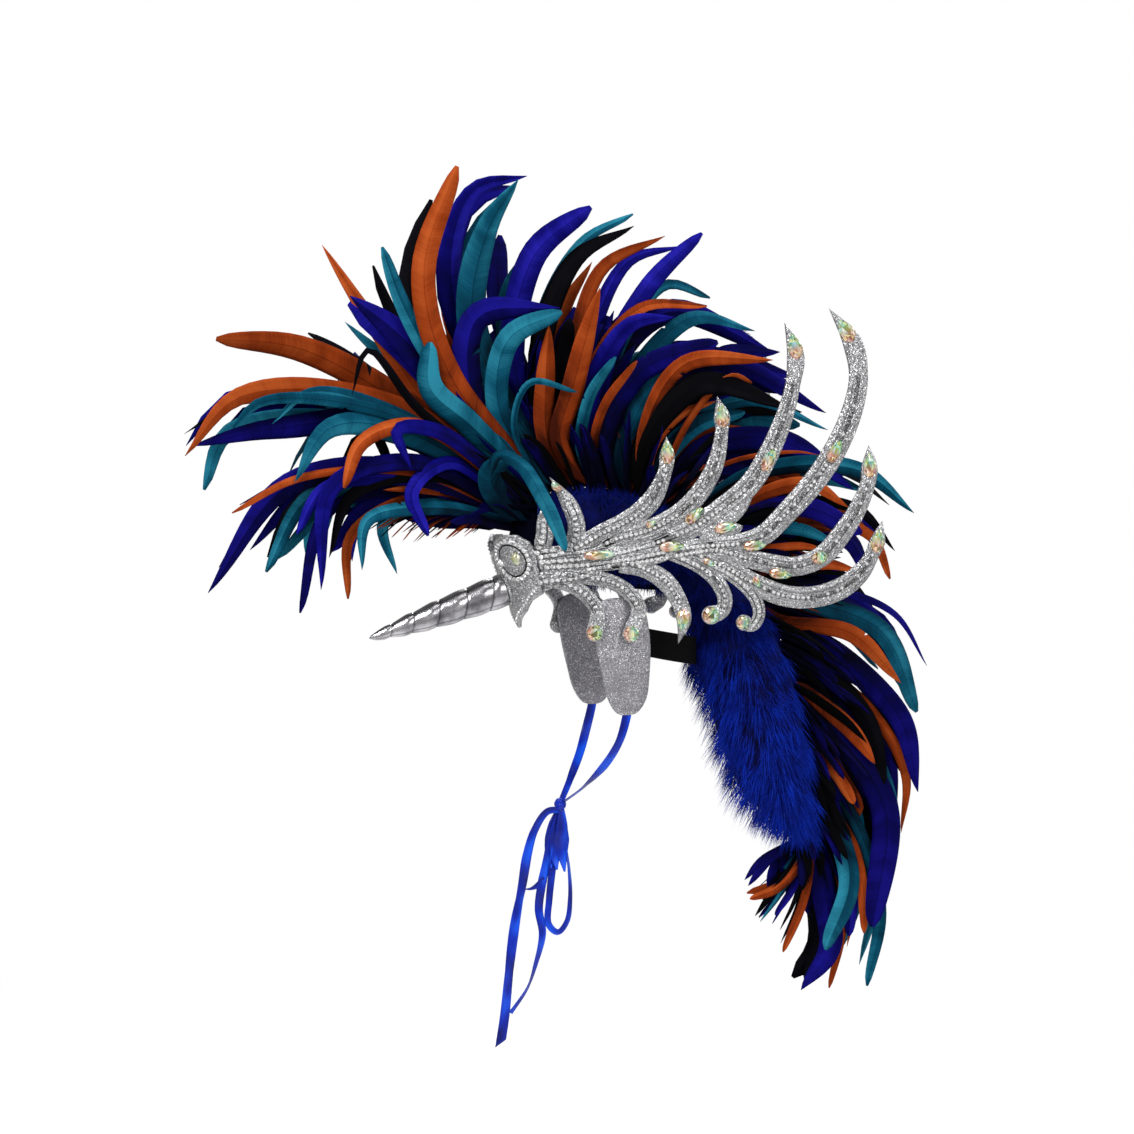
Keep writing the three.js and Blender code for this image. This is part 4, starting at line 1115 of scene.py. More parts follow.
def slice_plate(bm, axis, low, high, step):
    normal = (1, 0, 0) if axis == 0 else (0, 1, 0)
    for k in range(int((high - low) / step) + 1):
        place = [0, 0, 0]
        place[axis] = low + k * step
        everything = bm.verts[:] + bm.edges[:] + bm.faces[:]
        bmesh.ops.bisect_plane(bm, geom=everything, plane_co=place, plane_no=normal)


def bend_all(bm, place):
    points = np.array([vert.co for vert in bm.verts])
    for vert, point in zip(bm.verts, place(*points.T)):
        vert.co = point


def lobe_ring(bm, side, inset, half, rise, dark):
    """A raised rim round one lobe, or, where dark is 1, a thin low ridge painted as the shade of a groove."""
    section = np.array([
        (-half, 0, 0), (-half, rise * 0.6, dark), (-half * 0.5, rise, dark), (0, rise * 1.1, dark),
        (half * 0.5, rise, dark), (half, rise * 0.6, dark), (half, 0, 0),
    ])

    def place(along, across):
        turn = along * 2 * math.pi
        aside, height, groove = section[np.rint(across * (len(section) - 1)).astype(int)].T
        u = LOBE_U + (LOBE_HALF_WIDTH - inset + aside) * np.sin(turn)
        v = LOBE_V + (LOBE_HALF_HEIGHT - inset + aside) * np.cos(turn)
        return np.column_stack([on_headdress(side * u, v, FOAM - 0.3 + height), groove])

    corners = shaped_grid(bm, 64, len(section) - 1, place)
    bmesh.ops.remove_doubles(bm, verts=corners, dist=WELD)


def brow_shield():
    bm = new_bmesh()
    right = [(-u, v) for u, v in SHIELD_EDGE[1:-1]]
    plate_of(bm, SHIELD_EDGE + right[::-1], FOAM, 1.4)
    slice_plate(bm, 0, -55, 55, SLICE)
    slice_plate(bm, 1, 20, 115, SLICE * 2)
    bend_all(bm, on_headdress)
    for side in (-1, 1):
        lobe_ring(bm, side, RIM_INSET, 2.5, 2.0, 0)
        # painted shade: a thin low ridge coloured near black where a groove's shadow would lie
        lobe_ring(bm, side, 6.2, 0.9, 0.4, 1)
    return bm


from_bmesh("brow_shield", brow_shield(), [wing_glitter], ["front_shield"])

horn_foot = on_headdress([0.0], [HORN_FOOT_HEIGHT], [FOAM])[0]
horn_axis = unit(np.array([0, -1.0, -SHIELD_LEAN]))
horn_up = unit(np.cross(horn_axis, (1.0, 0, 0)))


def round_horn_axis(radius, height, turn):
    """A point at a radius and a height on the horn's axis; turn 0 is the wearer's left side."""
    aside = np.outer(radius * np.cos(turn), (1.0, 0, 0)) + np.outer(radius * np.sin(turn), horn_up)
    return horn_foot + np.outer(height, horn_axis) + aside


def horn_seat():
    bm = new_bmesh()
    profile = np.array([(0, -3.5), (19, -3.5), (19, 0.2), (18.7, 0.65), (18, BOSS_RISE), (0, BOSS_RISE)])

    def place(along, across):
        radius, height = profile[np.rint(across * (len(profile) - 1)).astype(int)].T
        return round_horn_axis(radius, height, -along * 2 * math.pi)

    closed_strip(bm, 40, len(profile) - 1, place)
    return bm


from_bmesh("horn_seat", horn_seat(), [wing_glitter])


RIM_CORNERS = 24
LOBE_STONES = [
    # u, v, length, width, direction in degrees, finish number
    (37, 91, 14, 10, 75, 2), (15.5, 86, 8, 6, 100, 0),
]


def shield_stones():
    top = FOAM + 1.7
    parts = []
    for side in (1, -1):
        ring = []
        for turn in np.linspace(0, 2 * math.pi, RIM_CORNERS + 1):
            u = LOBE_U + (LOBE_HALF_WIDTH - RIM_INSET) * math.sin(turn)
            ring.append((side * u, LOBE_V + (LOBE_HALF_HEIGHT - RIM_INSET) * math.cos(turn)))
        parts += stones_along(ring, 5.0, 2.3, top, [], seed=3)
        edge = [(52, 60), (41, 50), (29, 39), (14, 30), (4, 22)]
        parts += stones_along([(side * u, v) for u, v in edge], 4.6, 1.9, FOAM - 0.1, [], seed=5)
    for side in (1, -1):
        for u, v, length, width, angle, finish in LOBE_STONES:
            places, faces = UNIT_STONES["drop"]
            turn = math.radians(angle if side > 0 else 180 - angle)
            along, across = places[:, 0] * length, places[:, 1] * width
            flat = np.column_stack([
                side * u + along * math.cos(turn) - across * math.sin(turn),
                v + along * math.sin(turn) + across * math.cos(turn),
                FOAM + places[:, 2] * 3.4,
            ])
            parts.append((flat, faces, finish, {}))
    return bent_parts(parts)


def filled(parts, key, default):
    """Gives every part the value that only some of them carry."""
    return [(places, faces, finish, {key: values.get(key, np.full(len(places), default))})
            for places, faces, finish, values in parts]


shield_mesh = joined_mesh("shield_stones", filled(shield_stones(), "along", 0.5), False)
show("shield_stones", shield_mesh, [clear_stone, dark_stone, crystal_glass])

# %% [markdown]
# ## Horn
# The horn is silver leather wound over a core and bound in rings. It is a lathe shape, so a grid is
# rolled round its axis; the rings lean a little, a seam runs along the lower side, and fine wrinkles
# are left to the material.

# %% Horn
HORN_PROFILE = [
    # radius, height
    (17.5, 0), (18.2, 8), (17.2, 16), (17.8, 28), (15.9, 46.5), (16.3, 58), (13.8, 78), (14, 88),
    (10.7, 107), (10.8, 115), (7, 132), (6.7, 140), (2.4, 154), (0.02, 157.5),
]
HORN_RINGS = [16, 46.5, 78, 107, 132]
HORN_LEAN = -0.45
HORN_ROWS = 120
HORN_SIDES = 56
RING_DEPTH = 1.1
SEAM_DEPTH = 0.5
SEAM_TURN = 5.5


def horn():
    bm = new_bmesh()
    curve = smooth_path(HORN_PROFILE, HORN_ROWS)
    luck = random.Random(7)
    waves = [(luck.uniform(0, 6.28), luck.uniform(0.05, 0.16), luck.randint(2, 6)) for _ in range(6)]

    def place(along, across):
        row = np.rint(along * HORN_ROWS).astype(int)
        radius, height = curve[row].T
        turn = across * 2 * math.pi
        lean = HORN_LEAN * radius * np.sin(turn) * np.interp(height, [0, 16, 150, 157], [0, 1, 1, 0])
        depth = np.zeros_like(radius)
        for ring in HORN_RINGS:
            near = np.exp(-(((height - ring) / 0.8) ** 2))
            depth = np.maximum(depth, near)
        seam = np.exp(-(((turn - SEAM_TURN) * radius / 0.8) ** 2)) * (height < 150)
        rough = sum(size * np.sin(count * turn + phase + height / 7) for phase, size, count in waves)
        keep = np.clip(radius / 6, 0, 1)
        cut = radius - (depth * RING_DEPTH + seam * SEAM_DEPTH) * keep + rough * keep * 0.4
        # The last column paints shade into the binding rings and along the seam.
        return np.column_stack([
            round_horn_axis(np.maximum(0.01, cut), height + lean + BOSS_RISE + 0.1, turn),
            np.maximum(depth, seam * 0.7),
        ])

    closed_strip(bm, HORN_ROWS, HORN_SIDES, place)
    return bm


from_bmesh("horn_leather", horn(), [leather], ["horn"])

# %% [markdown]
# ## Ear flaps and elastic
# The flaps follow the head and tuck in below the ear, cut from a thinner foam with finer glitter. The
# elastic is a ribbed band whose ends are glued inside them.

# %% Ear flaps and elastic
FLAP_THICKNESS = 4
FLAP_HALF_WIDTH = 79.3
FLAP_HALF_LENGTH = 93.7
FLAP_TUCK = 9
FLAP_TUCK_START = -12
FLAP_TUCK_RANGE = 65
FLAP_EDGE = [
    # distance behind the ear, height
    (-37, 30), (-32, -1), (-25, -31), (-17, -60), (-6, -75), (4, -77), (16, -75), (27, -60), (30, -32),
    (29, 12), (20, 40), (-10, 50), (-30, 44),
]
STRAP_HALF_WIDTH = 74.2
STRAP_HALF_LENGTH = 103
STRAP_START_Y = 10
STRAP_HEIGHT = 30
STRAP_THICKNESS = 1.5
STRAP_BACK_Z = -13
STRAP_SIDE_Z = 5


def on_flap(s, z, w):
    angle = math.pi / 2 + s / FLAP_HALF_LENGTH
    inset = FLAP_THICKNESS - w
    drop = np.maximum(0, FLAP_TUCK_START - z) / FLAP_TUCK_RANGE
    x = (FLAP_HALF_WIDTH - inset) * np.sin(angle) - FLAP_TUCK * drop ** 1.3
    return np.column_stack([x, -(FLAP_HALF_LENGTH - inset) * np.cos(angle), z])


def rounded_outline(points, samples):
    """A closed rounded outline through the given corners."""
    looped = [*points[-2:], *points, *points[:3]]
    path = smooth_path(looped, samples * 2)
    gap = np.linalg.norm(path - points[0], axis=1)
    middle = len(path) // 2
    first, last = np.argmin(gap[:middle]), middle + np.argmin(gap[middle:])
    return [tuple(point) for point in path[first:last]]


def ear_flap():
    bm = new_bmesh()
    plate_of(bm, rounded_outline(np.array(FLAP_EDGE, float), 40), FLAP_THICKNESS, 1.1)
    slice_plate(bm, 0, -36, 30, 6)
    slice_plate(bm, 1, -72, 48, 8)
    bend_all(bm, on_flap)
    return bm


two_sides("ear_flap_foam", ear_flap, [flap_glitter], ["ear_flap"])


STRAP_RIBS = 15
RIB_DEPTH = 0.25


def elastic_band():
    bm = new_bmesh()
    start = math.acos(STRAP_START_Y / STRAP_HALF_LENGTH)
    half = STRAP_HEIGHT / 2
    steps = 2 * STRAP_RIBS
    outer = [(RIB_DEPTH * (k % 2), -half + 0.6 + (STRAP_HEIGHT - 1.2) * k / steps) for k in range(steps + 1)]
    inner = [(STRAP_THICKNESS - inset, rise) for inset, rise in reversed(outer)]
    section = np.array([(STRAP_THICKNESS / 2, -half), *outer, (STRAP_THICKNESS / 2, half), *inner,
                        (STRAP_THICKNESS / 2, -half)])

    def place(along, across):
        inset, rise = section[np.rint(across * (len(section) - 1)).astype(int)].T
        turn = start * (1 - 2 * along)
        middle = STRAP_BACK_Z + (STRAP_SIDE_Z - STRAP_BACK_Z) * (turn / start) ** 2
        return np.column_stack([
            (STRAP_HALF_WIDTH - inset) * np.sin(turn), (STRAP_HALF_LENGTH - inset) * np.cos(turn), middle + rise,
        ])

    closed_strip(bm, 90, len(section) - 1, place)
    crease(bm, 40)
    return bm


from_bmesh("elastic_band", elastic_band(), [elastic_black], ["elastic_strap"])

# %% [markdown]
# ## The crest line
# Every feather and both marabou rolls follow one line from the brow over the head to the nape: the edge
# of the foam fin. Each row gives a point on that edge, the point under it on the inner edge, and how
# full the down is there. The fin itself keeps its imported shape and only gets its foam.

# %% Crest line
CREST = np.array([
    # outer y and z, inner y and z, fullness of the down
    (-105, 124, -100, 56, 0.4), (-79, 151, -77, 64, 0.7), (-46, 162, -44, 60, 0.9), (-6, 164, -3, 59, 1),
    (40, 152, 33, 56, 1), (86, 128, 67, 54, 1), (127, 96, 94, 38, 1), (163, 55, 103.4, 4, 1),
    (193, 8, 103.4, -26, 1), (213, -38, 112, -46, 1), (225, -83, 123, -75, 1), (235, -134, 138, -123, 0.95),
    (239, -185, 163, -177, 0.8), (236, -225, 212, -217, 0.45),
])
crest_line = CREST[:, :2]
crest_steps = np.linalg.norm(np.diff(crest_line, axis=0), axis=1)
crest_lengths = np.concatenate([[0], np.cumsum(crest_steps)])
crest_ahead = unit(np.gradient(crest_line, axis=0))


def on_crest(station, out):
    """The point on the crest line at a length from its front end, moved outward from the fin."""
    y, z = (np.interp(station, crest_lengths, crest_line[:, k]) for k in (0, 1))
    ahead_y, ahead_z = (np.interp(station, crest_lengths, crest_ahead[:, k]) for k in (0, 1))
    return np.array([y - ahead_z * out, z + ahead_y * out])


def nearest_on_crest(y, z):
    """Distance to the crest line, and the length along it of the nearest point."""
    best = (1e9, 0.0)
    for start, step, end, before in zip(crest_line, crest_steps, crest_line[1:], crest_lengths):
        edge = (end - start) / step
        along = min(max((y - start[0]) * edge[0] + (z - start[1]) * edge[1], 0), step)
        gap = math.hypot(start[0] + edge[0] * along - y, start[1] + edge[1] * along - z)
        best = min(best, (gap, before + along))
    return best


def coat_spine():
    spine = next(thing for thing in bpy.data.objects if thing.name.startswith("crest_spine"))
    for material_slot in spine.material_slots:
        material_slot.material = fin_foam
    print("crest spine:", spine.name)


coat_spine()

# %% [markdown]
# ## Marabou
# Marabou is down on a string: no two barbs lie alike, but all of them hang. A lumpy core gives the mass,
# and thousands of thin tapering hairs cover it. A hair is a three-sided spike of nine faces that sets
# off outward and bends down. All hairs are worked out at once, because one at a time takes minutes.

# %% Marabou rolls
MARABOU_START = 6.4
MARABOU_REACH = 38
CORE_REACH = 25
ROLL_SECTION = np.array([
    # share of the way from the inner to the outer edge, share of the sideways reach
    (0.02, 0.0), (0.0, 0.55), (0.12, 0.82), (0.3, 0.95), (0.5, 1.0), (0.7, 1.0), (0.9, 0.82), (1.02, 0.55),
    (1.0, 0.0),
])
DOWN_TUFTS = 620
HAIRS_IN_TUFT = 13
HAIR_RINGS = 3
crest_samples = smooth_path(CREST[1:], 160)


def roll_point(along, radial, aside, reach):
    """A point of a roll of down at a share of its length, with x pointing away from the fin."""
    outer_y, outer_z, inner_y, inner_z, full = (
        np.interp(along, np.linspace(0, 1, len(crest_samples)), column) for column in crest_samples.T
    )
    x = MARABOU_START + (reach - MARABOU_START) * aside * full
    return np.column_stack([x, inner_y + (outer_y - inner_y) * radial, inner_z + (outer_z - inner_z) * radial])


def down_core_roll():
    bm = new_bmesh()
    count = len(ROLL_SECTION) - 1

    def place(along, across):
        where = across * count
        radial = np.interp(where, range(count + 1), ROLL_SECTION[:, 0])
        aside = np.interp(where, range(count + 1), ROLL_SECTION[:, 1])
        lumps = 0.1 * np.sin(along * 90 + across * 7) + 0.08 * np.sin(along * 47 - across * 11)
        shy = 0.06 + 0.88 * radial
        return roll_point(along, shy, np.maximum(0, aside * (1 + lumps)), CORE_REACH)

    shaped_grid(bm, 150, 16, place)
    bmesh.ops.holes_fill(bm, edges=[edge for edge in bm.edges if edge.is_boundary], sides=0)
    return bm


def down_hairs(side, seed):
    luck = np.random.default_rng(seed)
    tufts = DOWN_TUFTS
    along = np.repeat(luck.uniform(0, 1, tufts), HAIRS_IN_TUFT)
    where = np.repeat(luck.uniform(0.5, len(ROLL_SECTION) - 1.2, tufts), HAIRS_IN_TUFT)
    hairs = len(along)
    along = np.clip(along + luck.normal(0, 0.004, hairs), 0, 1)
    where = np.clip(where + luck.normal(0, 0.25, hairs), 0.3, len(ROLL_SECTION) - 1.1)
    radial = np.interp(where, range(len(ROLL_SECTION)), ROLL_SECTION[:, 0])
    aside = np.interp(where, range(len(ROLL_SECTION)), ROLL_SECTION[:, 1])
    roots = roll_point(along, 0.08 + 0.84 * radial, aside * 0.95, CORE_REACH - 1)
    middles = roll_point(along, np.full(hairs, 0.5), np.full(hairs, 0.1), CORE_REACH)
    outward = unit(roots - middles)
    tuft_lean = np.repeat(luck.normal(0, 0.22, (tufts, 3)), HAIRS_IN_TUFT, axis=0)
    fall = np.interp(along, [0, 0.35, 0.5, 1], [0.0, 0.1, 0.8, 0.8])
    heading = unit(outward * 0.8 + tuft_lean + luck.normal(0, 0.26, (hairs, 3)) - fall[:, None] * (0, 0, 1))
    fullness = np.interp(along, [0, 0.35, 0.5, 0.9, 1], [0.1, 0.2, 1, 1, 0.6])
    length = luck.uniform(15, 29, hairs) * (0.55 + 0.45 * fullness)
    width = luck.uniform(0.22, 0.44, hairs)
    tone = np.repeat(luck.uniform(-0.12, 0.25, tufts), HAIRS_IN_TUFT) + luck.normal(0, 0.1, hairs)
    # Painted shade: the down is darker toward its front end, under the dense feathers.
    tone += np.interp(along, [0, 0.35, 0.6, 1], [-0.4, -0.35, 0.08, 0.08])
    share = np.linspace(0, 1, HAIR_RINGS + 1)
    spine = (roots[:, None, :] + heading[:, None, :] * (length[:, None] * share)[:, :, None]
             + np.array([0, 0, -1.0]) * (length[:, None] * fall[:, None] * 0.7 * share ** 2)[:, :, None])
    side_way = unit(np.cross(heading, luck.normal(0, 1, (hairs, 3))))
    other_way = unit(np.cross(heading, side_way))
    thick = width[:, None] * np.array([0.8, 1.0, 0.75, 0.05])
    corners = []
    for k in range(3):
        turn = 2 * math.pi * k / 3
        ray = side_way * math.cos(turn) + other_way * math.sin(turn)
        corners.append(spine + ray[:, None, :] * thick[:, :, None])
    places = np.stack(corners, axis=2).reshape(-1, 3)
    places[:, 0] = np.maximum(places[:, 0], MARABOU_START - 2)
    per_hair = (HAIR_RINGS + 1) * 3
    quads = [[r * 3 + k, r * 3 + (k + 1) % 3, (r + 1) * 3 + (k + 1) % 3, (r + 1) * 3 + k]
             for r in range(HAIR_RINGS) for k in range(3)]
    faces = (np.arange(hairs)[:, None, None] * per_hair + np.array(quads)).reshape(-1, 4)
    places[:, 0] *= side
    if side < 0:
        faces = faces[:, ::-1]
    mesh = bpy.data.meshes.new("hairs")
    mesh.from_pydata(places * MM, [], faces.tolist())
    tones = mesh.attributes.new("tone", "FLOAT", "POINT").data
    tones.foreach_set("value", np.repeat(tone, per_hair).astype(np.float32))
    mesh.polygons.foreach_set("use_smooth", [True] * len(mesh.polygons))
    return mesh


for side, sign in (("left", 1), ("right", -1)):
    from_bmesh(f"{side}_down_core", down_core_roll(), [down_core], [f"{side}_marabou"],
               mirror=sign < 0)
    show(f"{side}_down_hairs", down_hairs(sign, 11 + sign), [down_hair])

# %% [markdown]
# ## Cock feathers
# The crest's large feathers are placed one by one. Each row names its dye, its lane across the crest,
# its width, and four places in the picture: root, rise, fall and tip. The lane says how far toward the
# camera it leans, and the camera turns the picture's places into places in the room.

# %% Feather table
HEROES = {
    # dye, lane, width, then the picture's places of root, rise, fall and tip
    "brow": [
        ("navy", 5, 24, (516, 522), (420, 472), (290, 485), (208, 593)),
        ("orange", 7, 8, (518, 520), (420, 474), (300, 478), (232, 513)),
        ("teal", 3, 16, (515, 523), (420, 478), (310, 497), (266, 572)),
        ("blue", 7, 14, (517, 521), (420, 480), (325, 489), (297, 534)),
        ("blue", 9, 18, (519, 518), (420, 462), (333, 487), (321, 590)),
        ("navy", 1, 12, (514, 524), (430, 490), (330, 510), (300, 613)),
        ("orange", 1, 12, (513, 526), (430, 495), (352, 535), (348, 599)),
        ("teal", 9, 15, (516, 524), (440, 508), (368, 520), (362, 570)),
        ("teal", 3, 14, (514, 526), (440, 505), (384, 522), (397, 574)),
        ("blue", 11, 15, (522, 514), (450, 462), (412, 492), (428, 536)),
        ("black", 7, 14, (518, 520), (440, 476), (352, 495), (329, 558)),
        ("navy", -1, 30, (514, 526), (440, 500), (370, 512), (332, 552)),
        ("orange", 5, 10, (515, 524), (460, 495), (420, 489), (383, 490)),
        ("navy", -3, 26, (512, 528), (480, 518), (440, 515), (405, 519)),
        ("teal", -5, 14, (515, 523), (430, 480), (330, 508), (278, 558)),
        ("navy", -7, 20, (516, 521), (430, 470), (310, 490), (250, 550)),
        ("orange", -9, 12, (516, 523), (440, 487), (366, 510), (345, 575)),
    ],
    "front": [
        ("navy", -3, 26, (541, 501), (518, 505), (490, 500), (452, 492)),
        ("navy", -4, 18, (556, 496), (548, 480), (538, 462), (525, 440)),
        ("teal", 12, 7, (552, 503), (514, 428), (530, 383), (577, 392)),
        ("teal", 8, 26, (546, 500), (470, 425), (430, 388), (430, 342)),
        ("orange", 2, 30, (538, 503), (434, 425), (301, 349), (216, 339)),
        ("orange", 4, 24, (536, 504), (390, 405), (240, 397), (185, 456)),
        ("black", 2, 10, (535, 505), (390, 400), (240, 402), (184, 434)),
        ("teal", 6, 14, (536, 505), (398, 415), (310, 392), (272, 424)),
        ("teal", 8, 12, (534, 506), (390, 414), (262, 402), (233, 428)),
        ("navy", 0, 25, (534, 507), (400, 424), (277, 428), (192, 446)),
        ("teal", -2, 18, (532, 508), (380, 425), (230, 432), (204, 490)),
        ("teal", 8, 24, (534, 507), (400, 430), (330, 428), (295, 482)),
        ("orange", 10, 16, (533, 508), (420, 426), (362, 442), (344, 488)),
        ("blue", 12, 16, (533, 508), (440, 432), (397, 430), (412, 470)),
        ("orange", -4, 18, (545, 500), (440, 420), (370, 318), (322, 245)),
        ("navy", 4, 35, (545, 499), (450, 390), (398, 334), (350, 296)),
        ("blue", -6, 14, (547, 498), (460, 400), (410, 340), (381, 303)),
        ("teal", 6, 17, (548, 498), (450, 385), (402, 303), (382, 247)),
        ("black", 10, 9, (540, 502), (420, 410), (368, 350), (352, 395)),
        ("black", -2, 12, (538, 503), (430, 420), (345, 354), (308, 333)),
        ("orange", 8, 24, (550, 497), (450, 375), (424, 270), (457, 166)),
        ("orange", -6, 14, (552, 496), (470, 370), (446, 300), (459, 269)),
        ("navy", -8, 22, (540, 502), (430, 420), (300, 400), (225, 425)),
        ("teal", -10, 16, (545, 500), (440, 400), (370, 345), (345, 322)),
        ("black", 0, 30, (548, 498), (480, 420), (430, 360), (400, 330)),
        ("navy", -4, 28, (536, 505), (460, 440), (400, 410), (340, 400)),
    ],
    "top": [
        ("navy", -4, 18, (590, 492), (581, 470), (574, 450), (568, 425)),
        ("blue", 3, 27, (560, 493), (452, 290), (472, 192), (527, 176)),
        ("teal", 5, 35, (564, 493), (474, 330), (488, 230), (518, 180)),
        ("teal", -3, 15, (572, 493), (510, 370), (507, 290), (539, 238)),
        ("blue", 1, 28, (575, 493), (515, 370), (533, 258), (591, 207)),
        ("black", -1, 22, (585, 492), (540, 360), (575, 260), (634, 226)),
        ("teal", -5, 12, (582, 492), (535, 350), (580, 245), (633, 214)),
        ("teal", 9, 24, (560, 493), (500, 412), (508, 340), (562, 312)),
        ("navy", 8, 30, (548, 500), (474, 402), (478, 318), (560, 308)),
        ("orange", 7, 22, (575, 492), (548, 440), (546, 380), (549, 326)),
        ("orange", 9, 24, (590, 492), (560, 440), (572, 390), (600, 288)),
        ("black", 3, 20, (580, 492), (552, 430), (560, 370), (570, 318)),
        ("teal", 11, 16, (600, 492), (582, 450), (590, 400), (616, 357)),
        ("navy", -7, 30, (590, 492), (530, 400), (500, 300), (500, 235)),
        ("orange", -9, 18, (595, 492), (560, 400), (560, 320), (592, 262)),
        ("blue", -5, 24, (600, 492), (570, 400), (580, 330), (605, 292)),
    ],
    "crown": [
        ("orange", 10, 11, (608, 492), (594, 450), (606, 404), (637, 361)),
        ("navy", 8, 24, (616, 494), (606, 450), (640, 372), (718, 342)),
        ("teal", 6, 24, (626, 496), (624, 455), (646, 398), (692, 350)),
        ("orange", 10, 18, (640, 501), (645, 430), (685, 364), (773, 360)),
        ("navy", 4, 20, (636, 500), (650, 420), (720, 364), (826, 413)),
        ("black", 12, 25, (634, 500), (643, 445), (700, 384), (790, 408)),
        ("teal", 2, 14, (640, 502), (680, 430), (750, 400), (828, 430)),
        ("orange", 8, 11, (645, 504), (652, 450), (680, 415), (716, 401)),
        ("orange", 0, 18, (610, 493), (577, 390), (600, 271), (665, 236)),
        ("blue", -2, 16, (614, 494), (585, 390), (625, 264), (682, 246)),
        ("blue", 2, 20, (620, 495), (600, 390), (645, 290), (702, 233)),
        ("teal", -6, 12, (625, 496), (610, 380), (665, 285), (710, 298)),
        ("orange", 4, 12, (615, 494), (590, 380), (640, 308), (707, 306)),
        ("teal", -2, 20, (632, 498), (625, 400), (690, 318), (755, 331)),
        ("blue", 6, 22, (618, 494), (592, 400), (630, 325), (674, 317)),
        ("navy", -8, 26, (640, 501), (650, 420), (690, 385), (760, 385)),
        ("navy", -6, 26, (640, 502), (690, 400), (725, 356), (780, 352)),
        ("navy", -3, 26, (660, 512), (700, 462), (745, 446), (800, 456)),
        ("navy", -4, 28, (645, 503), (690, 420), (735, 378), (792, 388)),
        ("black", -5, 26, (650, 506), (700, 440), (740, 408), (802, 412)),
        ("navy", -5, 28, (655, 508), (690, 478), (730, 462), (790, 480)),
        ("orange", 10, 9, (650, 505), (690, 420), (732, 376), (752, 383)),
        ("orange", 11, 5, (655, 509), (730, 462), (798, 452), (819, 455)),
        ("navy", -8, 26, (612, 495), (610, 370), (670, 312), (775, 354)),
        ("navy", -9, 28, (632, 500), (650, 430), (700, 398), (800, 455)),
        ("navy", -8, 24, (622, 496), (632, 410), (690, 358), (800, 378)),
        ("orange", 0, 13, (655, 509), (690, 452), (729, 438), (766, 430)),
        ("navy", 4, 24, (660, 512), (700, 450), (780, 440), (854, 490)),
        ("teal", -4, 22, (650, 506), (690, 430), (740, 418), (800, 425)),
        ("teal", 6, 16, (650, 506), (665, 460), (700, 425), (745, 412)),
    ],
    "back": [
        ("teal", 5, 19, (680, 523), (750, 475), (858, 470), (914, 513)),
        ("orange", 7, 16, (700, 540), (760, 495), (810, 485), (848, 507)),
        ("black", 3, 13, (712, 550), (790, 505), (858, 510), (895, 551)),
        ("orange", -1, 8, (705, 545), (780, 505), (850, 516), (871, 538)),
        ("orange", 1, 12, (722, 560), (800, 520), (870, 535), (890, 579)),
        ("navy", 9, 22, (708, 547), (760, 512), (810, 508), (862, 533)),
        ("navy", -3, 22, (730, 570), (800, 535), (850, 540), (868, 575)),
        ("teal", 7, 14, (715, 553), (760, 530), (800, 529), (838, 545)),
        ("orange", 9, 9, (720, 558), (770, 548), (800, 546), (818, 548)),
        ("orange", 5, 14, (745, 590), (790, 568), (825, 563), (860, 572)),
        ("teal", 3, 24, (748, 593), (810, 602), (882, 632), (917, 712)),
        ("navy", 7, 8, (750, 595), (830, 590), (895, 614), (927, 666)),
        ("orange", 9, 18, (756, 603), (780, 621), (850, 633), (901, 683)),
        ("navy", -5, 24, (740, 580), (800, 585), (860, 610), (897, 660)),
        ("teal", -7, 18, (690, 531), (760, 490), (820, 478), (868, 492)),
        ("black", -9, 20, (725, 563), (790, 560), (840, 580), (880, 625)),
    ],
    "nape": [
        ("navy", 6, 25, (768, 627), (820, 642), (898, 715), (918, 792)),
        ("black", 8, 20, (778, 648), (826, 674), (868, 722), (884, 784)),
        ("orange", 2, 12, (780, 655), (850, 690), (905, 770), (901, 833)),
        ("navy", 9, 30, (790, 690), (836, 733), (886, 810), (872, 927)),
        ("orange", 12, 18, (788, 680), (810, 695), (850, 728), (875, 764)),
        ("teal", 4, 14, (786, 676), (860, 730), (895, 810), (884, 884)),
        ("orange", 12, 14, (799, 735), (815, 755), (838, 778), (854, 804)),
        ("teal", 10, 26, (805, 775), (832, 815), (850, 880), (826, 950)),
        ("navy", 6, 26, (807, 812), (818, 860), (830, 945), (801, 990)),
        ("orange", 6, 12, (806, 790), (845, 830), (862, 880), (864, 933)),
        ("teal", 4, 14, (803, 760), (850, 810), (880, 910), (867, 986)),
        ("blue", 2, 16, (806, 800), (830, 850), (850, 890), (849, 936)),
        ("orange", 4, 9, (807, 825), (810, 865), (802, 905), (783, 952)),
        ("navy", 6, 11, (806, 832), (795, 842), (770, 858), (748, 886)),
        ("teal", 5, 7, (806, 832), (798, 862), (780, 895), (760, 922)),
        ("black", 7, 6, (806, 832), (800, 850), (782, 880), (762, 900)),
        ("navy", 7, 8, (807, 830), (803, 860), (792, 890), (775, 915)),
        ("black", 5, 6, (806, 832), (805, 865), (795, 900), (780, 930)),
        ("orange", 8, 10, (807, 832), (801, 862), (778, 887), (750, 899)),
        ("black", -2, 12, (806, 833), (795, 865), (775, 890), (755, 916)),
        ("orange", 0, 9, (807, 815), (835, 870), (842, 930), (829, 988)),
        ("orange", -4, 9, (807, 805), (840, 850), (855, 900), (847, 947)),
        ("navy", -6, 24, (795, 705), (850, 760), (880, 830), (868, 915)),
        ("teal", -8, 22, (800, 745), (840, 800), (855, 880), (838, 950)),
        ("navy", -10, 22, (785, 668), (840, 695), (885, 750), (893, 830)),
        ("black", -4, 20, (807, 820), (820, 870), (825, 930), (805, 980)),
    ],
}
